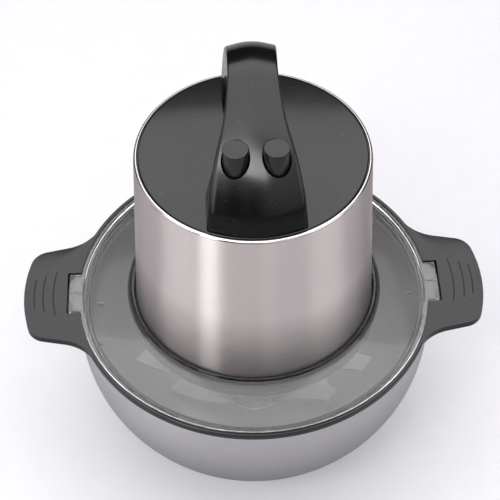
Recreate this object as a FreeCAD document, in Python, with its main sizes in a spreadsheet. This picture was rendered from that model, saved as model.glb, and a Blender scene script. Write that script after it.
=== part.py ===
import FreeCAD, Part
import math
import os
import re
import Sketcher

# Yam pounder: steel bowl, clear lid and motor head, built as separate sub-parts.
# Millimetres, +Z up, origin on the table under the middle of the bowl, front towards -Y.

SIZES = [
    ("fit", 0.3, "clearance between pieces that move apart"),
    ("running", 0.05, "radial clearance of a shaft in its bearing"),
    ("foot_height", 3, "rubber feet"),
    ("bowl_base", 14, "height of the bowl's flat base"),
    ("base_radius", 55.8, "flat base of the bowl"),
    ("bowl_radius", 121.5, "outside of the bowl"),
    ("bowl_wall", 1.2, "steel of the bowl"),
    ("bowl_rise", 102, "height of the curved wall"),
    ("bowl_curve", "=((bowl_radius-base_radius)^2+bowl_rise^2)/(2*(bowl_radius-base_radius))", "curved wall"),
    ("rim_height", 140, "top of the ring above the table"),
    ("ring_radius", "=bowl_radius+1.5", "outside of the ring"),
    ("ring_bore", "=bowl_radius-3.9", "bore of the ring"),
    ("ring_lip", 3.8, "bowl edge below the ring's top"),
    ("ledge_depth", 2.6, "ledge that the lid rests on"),
    ("ledge_radius", "=bowl_radius-1.1", "seat for the lid's rim"),
    ("ear_length", 36.5, "ear beyond the bowl"),
    ("ear_reach", "=bowl_radius+ear_length", "outer end of an ear"),
    ("ear_half", 41.2, "half the ear's width at its root"),
    ("ear_depth", 11.8, "depth of the ear's body at its root"),
    ("ear_edge", 4.6, "visible edge of the ears and the ring"),
    ("ear_inset", 6, "body of the ear inside its edge"),
    ("ear_tip", 5.5, "depth of the ear at its outer end"),
    ("ear_skin", 2.4, "wall of the ear"),
    ("ear_bow", 107, "radius of the ear's outer end"),
    ("notch_half", 17.9, "half the length of the lock notch"),
    ("notch_reach", "=bowl_radius+7", "outer edge of the lock notch"),
    ("notch_depth", 9, "floor of the lock notch"),
    ("lid_radius", "=ledge_radius-0.4", "outside of the lid"),
    ("lid_skin", 2.4, "wall of the lid"),
    ("collar_radius", 84.1, "outside of the lid's collar"),
    ("collar_top", 7.2, "collar above the ring's top"),
    ("recess_depth", 8.6, "floor of the collar below the ring's top"),
    ("lid_hole", 24, "hole for the drive"),
    ("sleeve_foot", "=collar_radius-3.4", "sleeve radius at its foot"),
    ("sleeve_top", "=sleeve_foot-5.9", "sleeve radius at its top"),
    ("sleeve_wall", 0.8, "steel of the sleeve"),
    ("sleeve_start", "=rim_height+4.5", "foot of the sleeve above the table"),
    ("sleeve_length", 127.5, "sleeve from its foot to the top plate"),
    ("plate_height", "=sleeve_start+sleeve_length", "top plate above the table"),
    ("plate_radius", "=sleeve_top-2.7", "top plate"),
    ("grip_skin", 2.4, "wall of the handle"),
    ("grip_height", 72, "arch above the plate"),
    ("grip_front", "=plate_radius-0.2", "front of the front leg"),
    ("grip_rear", "=plate_radius-4.1", "rear of the rear leg"),
    ("gap_front", 33, "front of the finger gap"),
    ("gap_rear", 45, "rear of the finger gap"),
    ("gap_height", 47, "finger gap above the plate"),
    ("foot_half", 30.5, "half the front leg's width"),
    ("middle_half", 15, "half the grip's width"),
    ("rear_half", 18.4, "half the rear leg's width"),
    ("button_radius", 7.75, "push buttons"),
    ("button_side", 12.1, "buttons from the middle"),
    ("button_back", 46.2, "buttons in front of the axis"),
    ("button_top", "=grip_height-22", "buttons above the plate"),
    ("button_length", 19, "button body"),
    ("button_travel", 3.5, "stroke of a button"),
    ("stem_length", 9, "button stem"),
    ("board_height", 6, "switch board above the plate"),
    ("board_thickness", 1.6, "switch board"),
    ("spring_length", 13, "button spring"),
    ("switch_height", "=button_top-button_length-spring_length-board_height-board_thickness", "power switches"),
    ("module", 1, "gear module"),
    ("sun_teeth", 12, "teeth of the sun pinion"),
    ("planet_teeth", 24, "teeth of a planet gear"),
    ("ring_teeth", "=sun_teeth+2*planet_teeth", "teeth of the ring gear"),
    ("face_width", 8, "width of the gears"),
    ("gearbox_height", "=rim_height", "gearbox base above the table"),
    ("gearbox_radius", "=ring_teeth*module/2+9", "gearbox housing"),
    ("motor_height", "=gearbox_height+48", "stator above the table"),
    ("stator_length", 38, "stator stack"),
    ("stator_radius", "=gearbox_radius+3", "stator stack"),
    ("rotor_radius", "=stator_radius-20", "rotor stack"),
    ("shaft_radius", 4, "motor shaft"),
    ("output_radius", 5, "output shaft and spindle"),
    ("blade_thickness", 1.5, "steel of the blades"),
    ("lower_reach", "=base_radius+5.2", "lower blade"),
    ("upper_reach", "=bowl_radius-37.5", "upper blade"),
    ("hub_radius", 11.5, "blade hub"),
    ("hub_height", "=gearbox_height-19", "top of the hub's tube above the table"),
    ("spindle_end", "=hub_height-17", "top of the spindle above the table"),
    ("drive_flats", 14, "across the flats of the drive socket"),
]

os.makedirs("parts", exist_ok=True)
doc = FreeCAD.newDocument("YamPounder")
sheet = doc.addObject("Spreadsheet::Sheet", "Sizes")
for row, (alias, value, note) in enumerate(SIZES, 1):
    sheet.set("A%d" % row, note)
    sheet.set("B%d" % row, str(value))
    sheet.setAlias("B%d" % row, alias)
doc.recompute()
ALIASES = {alias for alias, value, note in SIZES}
pieces = []


def bound(text):
    """An expression whose size names point at the sheet."""
    return re.sub(r"[A-Za-z_]\w*", lambda m: ("Sizes." if m.group(0) in ALIASES else "") + m.group(0), text)


def number(text):
    """The present value of an expression."""
    return float(sheet.evalExpression(bound(text)))


def body(name, x="0", y="0", z="0", turned=None):
    """A new sub-part, placed by expressions and turned about one axis."""
    made = doc.addObject("PartDesign::Body", name)
    made.Label = name
    if turned:
        axis, angle = turned
        made.Placement = FreeCAD.Placement(FreeCAD.Vector(), FreeCAD.Rotation(FreeCAD.Vector(*axis), angle))
    for letter, text in zip("xyz", (x, y, z)):
        if text != "0":
            made.setExpression("Placement.Base." + letter, bound(text))
    pieces.append(made)
    return made


def origin(piece, role):
    """A plane or axis of the sub-part's own origin."""
    return next(item for item in piece.Origin.OriginFeatures if item.Role == role)


def sketch(piece, name, role="XY_Plane", height="0"):
    """An empty sketch on one of the sub-part's origin planes."""
    drawn = piece.newObject("Sketcher::SketchObject", name)
    drawn.AttachmentSupport = [(origin(piece, role), "")]
    drawn.MapMode = "FlatFace"
    if height != "0":
        drawn.setExpression("AttachmentOffset.Base.z", bound(height))
    return drawn


def hold(drawn, kind, text, *where):
    """One constraint tied to an expression."""
    index = drawn.addConstraint(Sketcher.Constraint(kind, *where, number(text)))
    drawn.setExpression("Constraints[%d]" % index, bound(text))


def hold_point(drawn, item, end, x, y):
    """A point held at x, y by expressions."""
    for kind, text, axis in (("DistanceX", x, -2), ("DistanceY", y, -1)):
        if text == "0":
            drawn.addConstraint(Sketcher.Constraint("PointOnObject", item, end, axis))
        else:
            hold(drawn, kind, text, -1, 1, item, end)


def outline(drawn, points, arcs=None):
    """A closed outline; arcs names the spans that are arcs, with radius and side of the centre."""
    arcs = arcs or {}
    first = len(drawn.Geometry)
    at = [FreeCAD.Vector(number(x), number(y), 0) for x, y in points]
    count = len(at)
    ends = []
    for i in range(count):
        a = at[i]
        b = at[(i + 1) % count]
        if i not in arcs:
            drawn.addGeometry(Part.LineSegment(a, b))
            ends.append((1, 2))
            continue
        radius, side = arcs[i]
        size = number(radius)
        along = b - a
        across = FreeCAD.Vector(-along.y, along.x, 0).normalize() * side
        centre = (a + b) * 0.5 + across * math.sqrt(max(size ** 2 - along.Length ** 2 / 4, 0))
        backwards = (a - centre).cross(b - centre).z < 0
        ends.append((2, 1) if backwards else (1, 2))
        angles = [math.atan2(p.y - centre.y, p.x - centre.x) for p in ((b, a) if backwards else (a, b))]
        drawn.addGeometry(Part.ArcOfCircle(Part.Circle(centre, FreeCAD.Vector(0, 0, 1), size), *angles))
    for i in range(count):
        after = (i + 1) % count
        drawn.addConstraint(Sketcher.Constraint("Coincident", first + i, ends[i][1], first + after, ends[after][0]))
    for i, (x, y) in enumerate(points):
        hold_point(drawn, first + i, ends[i][0], x, y)
    for i in arcs:
        hold(drawn, "Radius", arcs[i][0], first + i)
    return drawn


def block(drawn, low_x, low_y, high_x, high_y):
    """A rectangle."""
    return outline(drawn, [(low_x, low_y), (high_x, low_y), (high_x, high_y), (low_x, high_y)])


def circles(drawn, spots):
    """Circles given as x, y, radius."""
    for x, y, radius in spots:
        at = FreeCAD.Vector(number(x), number(y), 0)
        item = drawn.addGeometry(Part.Circle(at, FreeCAD.Vector(0, 0, 1), number(radius)))
        if x == "0" and y == "0":
            drawn.addConstraint(Sketcher.Constraint("Coincident", item, 3, -1, 1))
        else:
            hold_point(drawn, item, 3, x, y)
        hold(drawn, "Radius", radius, item)
    return drawn


def swing(text, angle, sine):
    """An expression for a radius at an angle, as its x or its y."""
    share = math.sin(math.radians(angle)) if sine else math.cos(math.radians(angle))
    return "(%s)*%.6f" % (text, share) if abs(share) > 1e-9 else "0"


def ring_spots(radius, hole, count, start=0):
    """Circle spots spread evenly on a pitch circle."""
    turns = [start + 360 / count * i for i in range(count)]
    return [(swing(radius, a, False), swing(radius, a, True), hole) for a in turns]


def feature(piece, kind, name, drawn, length=None, both=False, back=False):
    """A pad or pocket; both goes to each side of the sketch, back turns it round."""
    made = piece.newObject("PartDesign::" + kind, name)
    made.Profile = drawn
    if both:
        made.SideType = "Symmetric"
    made.Reversed = back
    made.setExpression("Length", bound(length))
    return made


def pad(piece, name, drawn, length, both=False, back=False):
    return feature(piece, "Pad", name, drawn, length, both, back)


def pocket(piece, name, drawn, length, both=False, back=False):
    return feature(piece, "Pocket", name, drawn, length, both, back)


def turn(piece, name, points, arcs=None, cut=False):
    """A profile in the XZ plane turned about the vertical axis."""
    drawn = outline(sketch(piece, name + "_profile", "XZ_Plane"), points, arcs)
    made = piece.newObject("PartDesign::" + ("Groove" if cut else "Revolution"), name)
    made.Profile = drawn
    made.ReferenceAxis = (drawn, ["V_Axis"])
    made.Angle = 360
    return made


def repeat(piece, name, originals, count):
    """Features repeated evenly round the vertical axis."""
    made = piece.newObject("PartDesign::PolarPattern", name)
    made.Originals = originals
    made.Axis = (origin(piece, "Z_Axis"), [""])
    made.Angle = 360
    made.Occurrences = count
    piece.Tip = made
    return made


def mirror(piece, name, originals, role):
    """Features repeated on the other side of an origin plane."""
    made = piece.newObject("PartDesign::Mirrored", name)
    made.Originals = originals
    made.MirrorPlane = (origin(piece, role), [""])
    piece.Tip = made
    return made


# Bowl, its foot and the spindle

bowl = body("bowl", z="bowl_base")
BOWL_TOP = "rim_height-ring_lip-bowl_base"
turn(bowl, "bowl_shell", [
    ("output_radius+0.9", "0"),
    ("base_radius", "0"),
    ("bowl_radius", "bowl_rise"),
    ("bowl_radius", BOWL_TOP),
    ("bowl_radius-bowl_wall", BOWL_TOP),
    ("bowl_radius-bowl_wall", "bowl_rise"),
    ("bowl_radius-bowl_curve+sqrt((bowl_curve-bowl_wall)^2-(bowl_rise-bowl_wall)^2)", "bowl_wall"),
    ("output_radius+0.9", "bowl_wall"),
], {1: ("bowl_curve", 1), 5: ("bowl_curve-bowl_wall", -1)})

base_ring = body("base_ring", z="foot_height")
turn(base_ring, "base_shell", [
    ("base_radius-6.6", "0"), ("base_radius+1.2", "0"), ("base_radius-0.8", "bowl_base-foot_height"),
    ("base_radius-6.6", "bowl_base-foot_height")])

rubber_feet = body("rubber_feet")
foot = pad(rubber_feet, "foot", circles(sketch(rubber_feet, "foot_outline"), [("base_radius-2.8", "0", "3.4")]), "foot_height")
repeat(rubber_feet, "six_feet", [foot], 6)

spindle = body("spindle", z="bowl_base+bowl_wall")
POST = "spindle_end-bowl_base-bowl_wall"
turn(spindle, "post", [
    ("0", "-8.4"), ("output_radius+0.9", "-8.4"), ("output_radius+0.9", "0"), ("14", "0"), ("14", "2"),
    ("13", "3"), ("output_radius", "3"), ("output_radius", POST + "-1"), ("output_radius-1", POST), ("0", POST)])

spindle_washer = body("spindle_washer", z="bowl_base-1.2")
pad(spindle_washer, "washer", circles(sketch(spindle_washer, "washer_outline"), [
    ("0", "0", "12"), ("0", "0", "output_radius+0.9")]), "1.2")

spindle_nut = body("spindle_nut", z="bowl_base-6.6")
nut_sketch = sketch(spindle_nut, "nut_outline")
outline(nut_sketch, [(swing("10.97", a, False), swing("10.97", a, True)) for a in range(0, 360, 60)])
circles(nut_sketch, [("0", "0", "output_radius+0.9")])
pad(spindle_nut, "nut", nut_sketch, "5.4")

# Ring with ears

handle_ring = body("handle_ring", z="rim_height")
turn(handle_ring, "rim", [
    ("ring_bore", "-10"), ("bowl_radius-bowl_wall-fit", "-10"), ("bowl_radius-bowl_wall-fit", "-ring_lip"),
    ("bowl_radius+fit", "-ring_lip"), ("bowl_radius+fit", "-ear_edge"), ("ring_radius", "-ear_edge"), ("ring_radius", "-0.5"),
    ("ring_radius-0.5", "0"), ("ledge_radius", "0"), ("ledge_radius", "-ledge_depth"),
    ("ring_bore", "-ledge_depth")])
EAR_EDGE = [("ear_reach-30", "-ear_half"), ("ear_reach-15", "-(ear_half-3.2)"), ("ear_reach-4", "-(ear_half-12.2)"),
            ("ear_reach-4", "ear_half-12.2"), ("ear_reach-15", "ear_half-3.2"), ("ear_reach-30", "ear_half")]
EAR_ROOT = "(bowl_radius+0.8)"
ear = pad(handle_ring, "ear", outline(sketch(handle_ring, "ear_outline"), (
    [(swing(EAR_ROOT, -28, False), swing(EAR_ROOT, -28, True))] + EAR_EDGE
    + [(swing(EAR_ROOT, 28, False), swing(EAR_ROOT, 28, True))]
), {0: ("30.8", -1), 2: ("13.8", 1), 3: ("ear_bow", 1), 4: ("13.8", 1), 6: ("30.8", -1),
    7: (EAR_ROOT, -1)}), "ear_depth", back=True)


def corner(inset, across):
    """Where the ear's round corner starts or ends once it is drawn in by an inset, as x and y."""
    share = "(13.8-(" + inset + "))/13.8"
    x, y = (("1.99", "13.66"), ("12.99", "4.66"))[across]
    return "ear_reach-17+" + x + "*" + share, "ear_half-16.9+" + y + "*" + share


def inner_edge(start, inset):
    """The ear's edge drawn in by an inset, from its root on one side to its root on the other."""
    near, far = corner(inset, False), corner(inset, True)
    return [(start, "-(ear_half-(" + inset + "))"), (near[0], "-(" + near[1] + ")"), (far[0], "-(" + far[1] + ")"),
            far, near, (start, "ear_half-(" + inset + ")")]


def inner_arcs(inset, first):
    """The round corners and the bow of an edge that is drawn in, from the place of its first corner."""
    radius = "13.8-(" + inset + ")"
    return {first: (radius, 1), first + 1: ("ear_bow-(" + inset + ")", 1), first + 2: (radius, 1)}


SHADE = swing("bowl_radius+0.8", 32, False), swing("bowl_radius+0.8", 32, True)
STEP_START = "sqrt((" + EAR_ROOT + ")^2-(ear_half-ear_inset)^2)"
step = pocket(handle_ring, "ear_step", outline(sketch(handle_ring, "ear_step_outline", height="-ear_depth"), (
    [(STEP_START, "-(ear_half-ear_inset)"), (SHADE[0], "-(" + SHADE[1] + ")"), ("ear_reach+5", "-(ear_half+25)"),
     ("ear_reach+5", "ear_half+25"), SHADE, (STEP_START, "ear_half-ear_inset")]
    + inner_edge(STEP_START, "ear_inset")[::-1][1:-1]
), {0: (EAR_ROOT, -1), 4: (EAR_ROOT, -1), 6: ("13.8-ear_inset", -1), 7: ("ear_bow-ear_inset", -1),
    8: ("13.8-ear_inset", -1)}), "ear_depth-ear_edge", back=True)
WALL_INSET = "ear_inset+ear_skin"
CAVITY = inner_edge("notch_reach+ear_skin", WALL_INSET)
CAVITY_ARCS = inner_arcs(WALL_INSET, 1)
hollow = pocket(handle_ring, "ear_hollow", outline(
    sketch(handle_ring, "ear_hollow_outline", height="-ear_depth"), CAVITY, CAVITY_ARCS), "ear_depth-ear_skin", back=True)
bosses = pad(handle_ring, "ear_bosses", circles(sketch(handle_ring, "ear_boss_outline", height="-ear_depth"), [
    ("ear_reach-18", "22", "3.6"), ("ear_reach-18", "-22", "3.6")]), "ear_depth-1")
SLOPE_START = "notch_reach-2.5"
SLOPE = "((ear_depth-ear_tip)/(ear_reach-notch_reach+2.5))"
under = pocket(handle_ring, "ear_slope", outline(sketch(handle_ring, "ear_slope_outline", "XZ_Plane"), [
    (SLOPE_START, "-ear_depth"), ("ear_reach+2", "-ear_depth+" + SLOPE + "*(ear_reach+2-notch_reach+2.5)"),
    ("ear_reach+2", "-ear_depth-2"), (SLOPE_START, "-ear_depth-2")]), "4*ear_half", both=True)
seat = pocket(handle_ring, "cover_seat", outline(sketch(handle_ring, "cover_seat_outline", "XZ_Plane"), [
    ("ear_reach-22", "-ear_depth+2+" + SLOPE + "*(ear_reach-22-notch_reach+2.5)"),
    ("ear_reach-14", "-ear_depth+2+" + SLOPE + "*(ear_reach-14-notch_reach+2.5)"),
    ("ear_reach-14", "-ear_depth-2"), ("ear_reach-22", "-ear_depth-2")]), "54", both=True)
boss_holes = pocket(handle_ring, "boss_holes", circles(sketch(handle_ring, "boss_hole_outline", height="-ear_depth"), [
    ("ear_reach-18", "22", "1.6"), ("ear_reach-18", "-22", "1.6")]), "ear_depth-ear_skin-1", back=True)
notch_step = pocket(handle_ring, "notch_step", block(
    sketch(handle_ring, "notch_step_outline"), "ring_bore-1", "-notch_half", "notch_reach", "notch_half"), "ledge_depth")
notch_well = pocket(handle_ring, "notch_well", block(
    sketch(handle_ring, "notch_well_outline"), "ring_radius+0.6", "-notch_half", "notch_reach", "notch_half"), "notch_depth")
groove_sketch = sketch(handle_ring, "grip_groove_outline")
for reach, half in (("ear_reach-7", "13"), ("ear_reach-13", "16"), ("ear_reach-20", "19")):
    bow = "(%s-ear_reach+ear_bow)" % reach
    outer_x = "ear_reach-ear_bow+sqrt((%s+0.65)^2-%s^2)" % (bow, half)
    inner_x = "ear_reach-ear_bow+sqrt((%s-0.65)^2-%s^2)" % (bow, half)
    outline(groove_sketch, [(outer_x, "-" + half), (outer_x, half), (inner_x, half), (inner_x, "-" + half)],
            {0: (bow + "+0.65", 1), 2: (bow + "-0.65", -1)})
grip_grooves = pocket(handle_ring, "grip_grooves", groove_sketch, "0.7")
mirror(handle_ring, "second_ear", [ear, step, hollow, bosses, under, seat, boss_holes, notch_step, notch_well, grip_grooves],
       "YZ_Plane")

COVER_INSET = WALL_INSET + "+0.2"
COVER_FRAME = inner_edge("notch_reach+ear_skin+0.2", COVER_INSET)
for side, angle in (("right", 0), ("left", 180)):
    cover = body("ear_cover_" + side, z="rim_height", turned=((0, 0, 1), angle))
    pad(cover, "cover_plate", outline(sketch(cover, "plate_outline", "XZ_Plane"), [
        ("notch_reach+1", "-ear_depth+" + SLOPE + "*(notch_reach+1-notch_reach+2.5)"),
        ("ear_reach", "-ear_depth+" + SLOPE + "*(ear_reach-notch_reach+2.5)"),
        ("ear_reach", "-ear_depth+2+" + SLOPE + "*(ear_reach-notch_reach+2.5)"),
        ("notch_reach+1", "-ear_depth+2+" + SLOPE + "*(notch_reach+1-notch_reach+2.5)")]), "2*ear_half", both=True)
    trim = sketch(cover, "trim_outline")
    block(trim, "notch_reach-10", "-ear_half-10", "ear_reach+10", "ear_half+10")
    outline(trim, COVER_FRAME, inner_arcs(COVER_INSET, 1))
    pocket(cover, "trimmed", trim, "ear_depth+2")
    pocket(cover, "screw_holes", circles(sketch(cover, "screw_hole_outline"), [
        ("ear_reach-18", "22", "1.7"), ("ear_reach-18", "-22", "1.7")]), "ear_depth+2")

HEAD_LEVEL = "-ear_depth+" + SLOPE + "*(ear_reach-18-notch_reach+2.5)-0.75"
ear_screws = body("ear_screws", z="rim_height")
screw_head = pad(ear_screws, "ear_screw_head", circles(
    sketch(ear_screws, "ear_screw_head_outline", height=HEAD_LEVEL),
    [("ear_reach-18", "22", "2.8"), ("ear_reach-18", "-22", "2.8")]), "1.8", back=True)
screw_shank = pad(ear_screws, "ear_screw_shank", circles(
    sketch(ear_screws, "ear_screw_shank_outline", height=HEAD_LEVEL),
    [("ear_reach-18", "22", "1.6"), ("ear_reach-18", "-22", "1.6")]), "6")
mirror(ear_screws, "second_pair", [screw_head, screw_shank], "YZ_Plane")

# Lid and its seal

lid = body("lid", z="rim_height")
SKIRT = "(lid_radius-4.4)"
turn(lid, "lid_shell", [
    ("lid_hole", "-recess_depth-lid_skin"), ("collar_radius", "-recess_depth-lid_skin"), ("collar_radius", "2.2"),
    ("lid_radius-6.8", "-5.1"), ("lid_radius-6.8", "-12.5"), (SKIRT, "-12.5"), (SKIRT, "-5.2"), ("ring_bore-fit", "-5.2"),
    ("ring_bore-fit", "-ledge_depth+fit"), ("lid_radius", "-ledge_depth+fit"), ("lid_radius", "-0.6"),
    ("lid_radius-0.6", "0"), ("lid_radius-2.2", "0"), ("lid_radius-3", "-3"), ("lid_radius-3.8", "-3.3"),
    ("collar_radius", "4.7"),
    ("collar_radius", "collar_top-0.6"), ("collar_radius-0.6", "collar_top"), ("collar_radius-1.7", "collar_top"),
    ("collar_radius-2.3", "collar_top-0.6"), ("collar_radius-2.3", "-recess_depth"), ("lid_hole", "-recess_depth")])
tab = pad(lid, "tab", block(sketch(lid, "tab_outline"), "lid_radius-2", "-notch_half+0.6", "notch_reach-0.6", "notch_half-0.6"),
          "ledge_depth-fit", back=True)
tab_hook = pad(lid, "tab_hook", block(
    sketch(lid, "tab_hook_outline"), "notch_reach-4", "-15", "notch_reach-0.9", "15"), "8.4", back=True)
tab_rib = pad(lid, "tab_rib", block(sketch(lid, "tab_rib_outline"), "lid_radius-1", "-0.9", "notch_reach-1.5", "0.9"), "0.8")
gusset = pad(lid, "tab_gussets", outline(sketch(lid, "gusset_outline", "XZ_Plane"), [
    ("lid_radius-1.5", "0"), ("notch_reach-3", "0"), ("lid_radius-1.5", "1.6")]), "notch_half", both=True)
gusset_gap = pocket(lid, "gusset_gap", block(
    sketch(lid, "gusset_gap_outline"), "lid_radius-2", "-notch_half/2+1", "notch_reach", "-1.8"), "3", back=True)
gusset_gap_two = pocket(lid, "gusset_gap_two", block(
    sketch(lid, "gusset_gap_two_outline"), "lid_radius-2", "1.8", "notch_reach", "notch_half/2-1"), "3", back=True)
near_tick = pad(lid, "near_tick", block(sketch(lid, "near_tick_outline", height="-3"), "lid_radius-17", "-10.5", "lid_radius-12.5", "-9.5"), "3.2")
far_tick = pad(lid, "far_tick", block(sketch(lid, "far_tick_outline", height="-4"), "lid_radius-17", "-43.5", "lid_radius-13", "-42.5"), "2.2")
mirror(lid, "second_side", [tab, tab_hook, tab_rib, gusset, gusset_gap, gusset_gap_two, near_tick, far_tick], "YZ_Plane")

lid_seal = body("lid_seal", z="rim_height")
turn(lid_seal, "seal_ring", [
    (SKIRT, "-12"), ("ring_bore-0.9", "-11.6"), ("ring_bore-0.4", "-9.8"), ("ring_bore-1.3", "-9.2"), ("ring_bore-1.3", "-8.2"),
    ("ring_bore-0.4", "-7.4"), ("ring_bore-0.4", "-5.2"), (SKIRT, "-5.2")])

# Head: base, sleeve and top plate

HEAD_FLOOR = "rim_height-recess_depth+fit"
head_base = body("head_base", z=HEAD_FLOOR)
WALL_TOP = "sleeve_start-(" + HEAD_FLOOR + ")"
BASE_OUT = "collar_radius-2.8"
turn(head_base, "base_cup", [
    ("15.2", "0"), (BASE_OUT + "-1", "0"), (BASE_OUT, "1"), (BASE_OUT, WALL_TOP), ("sleeve_foot-1.4", WALL_TOP),
    ("sleeve_foot-1.5", WALL_TOP + "+7.2"), ("sleeve_foot-3.2", WALL_TOP + "+7.2"), ("sleeve_foot-3.2", "2.5"),
    ("18", "2.5"), ("18", "4"), ("15.2", "4")])
POST_PITCH = "(gearbox_radius-10)"
pad(head_base, "base_posts", circles(sketch(head_base, "post_outline"), ring_spots(POST_PITCH, "5.5", 4, 45)),
    "gearbox_height-(" + HEAD_FLOOR + ")")
pocket(head_base, "screw_bores", circles(sketch(head_base, "screw_bore_outline"), ring_spots(POST_PITCH, "2", 4, 45)),
       "12", back=True)
pocket(head_base, "screw_recesses", circles(
    sketch(head_base, "screw_recess_outline"), ring_spots(POST_PITCH, "3.6", 4, 45)), "2.2", back=True)
vent = pocket(head_base, "vent", block(sketch(head_base, "vent_outline"), "collar_radius-38", "-2", "collar_radius-16", "2"), "5", back=True)
repeat(head_base, "vents", [vent], 16)

base_screws = body("base_screws", z=HEAD_FLOOR)
pad(base_screws, "screw_heads", circles(
    sketch(base_screws, "head_outline", height="0.3"), ring_spots(POST_PITCH, "3.4", 4, 45)), "1.9")
pad(base_screws, "screw_shanks", circles(
    sketch(base_screws, "shank_outline", height="0.3"), ring_spots(POST_PITCH, "1.9", 4, 45)),
    "gearbox_height+2.5-(" + HEAD_FLOOR + ")")

steel_sleeve = body("steel_sleeve", z="sleeve_start")
CORD_DROP = "24"
CORD_LEVEL = "(plate_height-" + CORD_DROP + ")"
BEAD = "(sleeve_length-0.2)"
turn(steel_sleeve, "sleeve_shell", [
    ("sleeve_foot", "0"), ("sleeve_top", BEAD), ("sleeve_top-2.4", BEAD), ("sleeve_top-1.2", BEAD + "-1.2"),
    ("sleeve_top-0.75", BEAD + "-1.3"), ("sleeve_foot-sleeve_wall", "0")],
    {1: ("1.21", 1), 2: ("1.21", 1)})
pocket(steel_sleeve, "cord_hole", circles(
    sketch(steel_sleeve, "cord_hole_outline", "XZ_Plane"), [("0", CORD_LEVEL + "-sleeve_start", "6.2")]), "100")

top_cap = body("top_cap", z="plate_height")
turn(top_cap, "cap_shell", [
    ("0", "0"), ("plate_radius-0.4", "0"), ("plate_radius", "-0.4"), ("plate_radius", "-1.9"),
    ("plate_radius+1.8", "-1.9"), ("plate_radius+1.8", "-14"), ("plate_radius-0.4", "-14"),
    ("plate_radius-0.4", "-2.8"), ("0", "-2.8")])
BOARD_POSTS = [(sign + "(button_side+%s)" % x, "-button_back" + y, "2.6")
               for x, y in (("10.9", "+3.7"), ("4.9", "-17.8")) for sign in ("", "-")]
pad(top_cap, "board_posts", circles(sketch(top_cap, "board_post_outline"), BOARD_POSTS), "board_height")
LEG_SCREWS = [("foot_half-6.5", "-grip_front+17.9"), ("-foot_half+6.5", "-grip_front+17.9"),
              ("rear_half-6.8", "grip_rear-10"), ("-rear_half+6.8", "grip_rear-10")]
pocket(top_cap, "leg_screw_holes", circles(
    sketch(top_cap, "leg_screw_hole_outline"), [(x, y, "1.7") for x, y in LEG_SCREWS]), "5")
pocket(top_cap, "wire_hole", circles(sketch(top_cap, "wire_hole_outline"), [("0", "-button_back-5.8", "7")]), "5")

cord_gland = body("cord_gland", y="sleeve_top+(sleeve_foot-sleeve_top)*" + CORD_DROP + "/sleeve_length-8.8", z=CORD_LEVEL, turned=((1, 0, 0), -90))
turn(cord_gland, "gland", [
    ("3.3", "0"), ("5.9", "0"), ("5.9", "3.8"), ("8.6", "3.8"), ("8.6", "7"), ("5.9", "7"), ("5.9", "9.1"),
    ("8.6", "9.1"), ("8.6", "11.6"), ("6", "12.4"), ("4.6", "21"), ("3.3", "21")])

# Arched handle in two shells

STATIONS = [
    ("-grip_front", "0", "-gap_front", "0", "foot_half", "72", "4"),
    ("-grip_front+0.9", "17", "-gap_front+0.7", "gap_height*0.3", "foot_half-1.6", "70", "4.5"),
    ("-grip_front+9.5", "grip_height*0.42", "-gap_front+4.5", "gap_height*0.58", "foot_half-3", "60", "6"),
    ("-grip_front+25", "grip_height*0.588", "-gap_front+11.5", "gap_height*0.79", "foot_half-6.6", "44", "6.5"),
    ("-grip_front+41.5", "grip_height*0.79", "-gap_front+19.5", "gap_height*0.915", "middle_half+3.6", "28", "6.5"),
    ("-grip_front+59", "grip_height*0.95", "-gap_front+28", "gap_height*0.985", "middle_half+0.7", "21", "6"),
    ("1", "grip_height", "3", "gap_height", "middle_half", "19", "6"),
    ("grip_rear-48", "grip_height*0.955", "gap_rear-30.5", "gap_height*0.955", "middle_half+0.3", "20", "6"),
    ("grip_rear-27", "grip_height*0.77", "gap_rear-17", "gap_height*0.78", "middle_half+1", "22", "6"),
    ("grip_rear-10.5", "grip_height*0.45", "gap_rear-6", "gap_height*0.47", "middle_half+2.1", "26", "6"),
    ("grip_rear", "0", "gap_rear", "0", "rear_half", "30", "5"),
]


def finer(rows):
    """The stations with one more between each two, on the smooth curve through the four nearest."""
    made = []
    last = len(rows) - 1
    for i in range(last):
        made.append(rows[i])
        if i in (0, last - 1):
            made.append(tuple("((%s)+(%s))/2" % pair for pair in zip(rows[i], rows[i + 1])))
        else:
            made.append(tuple("(9*((%s)+(%s))-(%s)-(%s))/16" % four
                              for four in zip(rows[i], rows[i + 1], rows[i - 1], rows[i + 2])))
    return made + [rows[last]]


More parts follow.
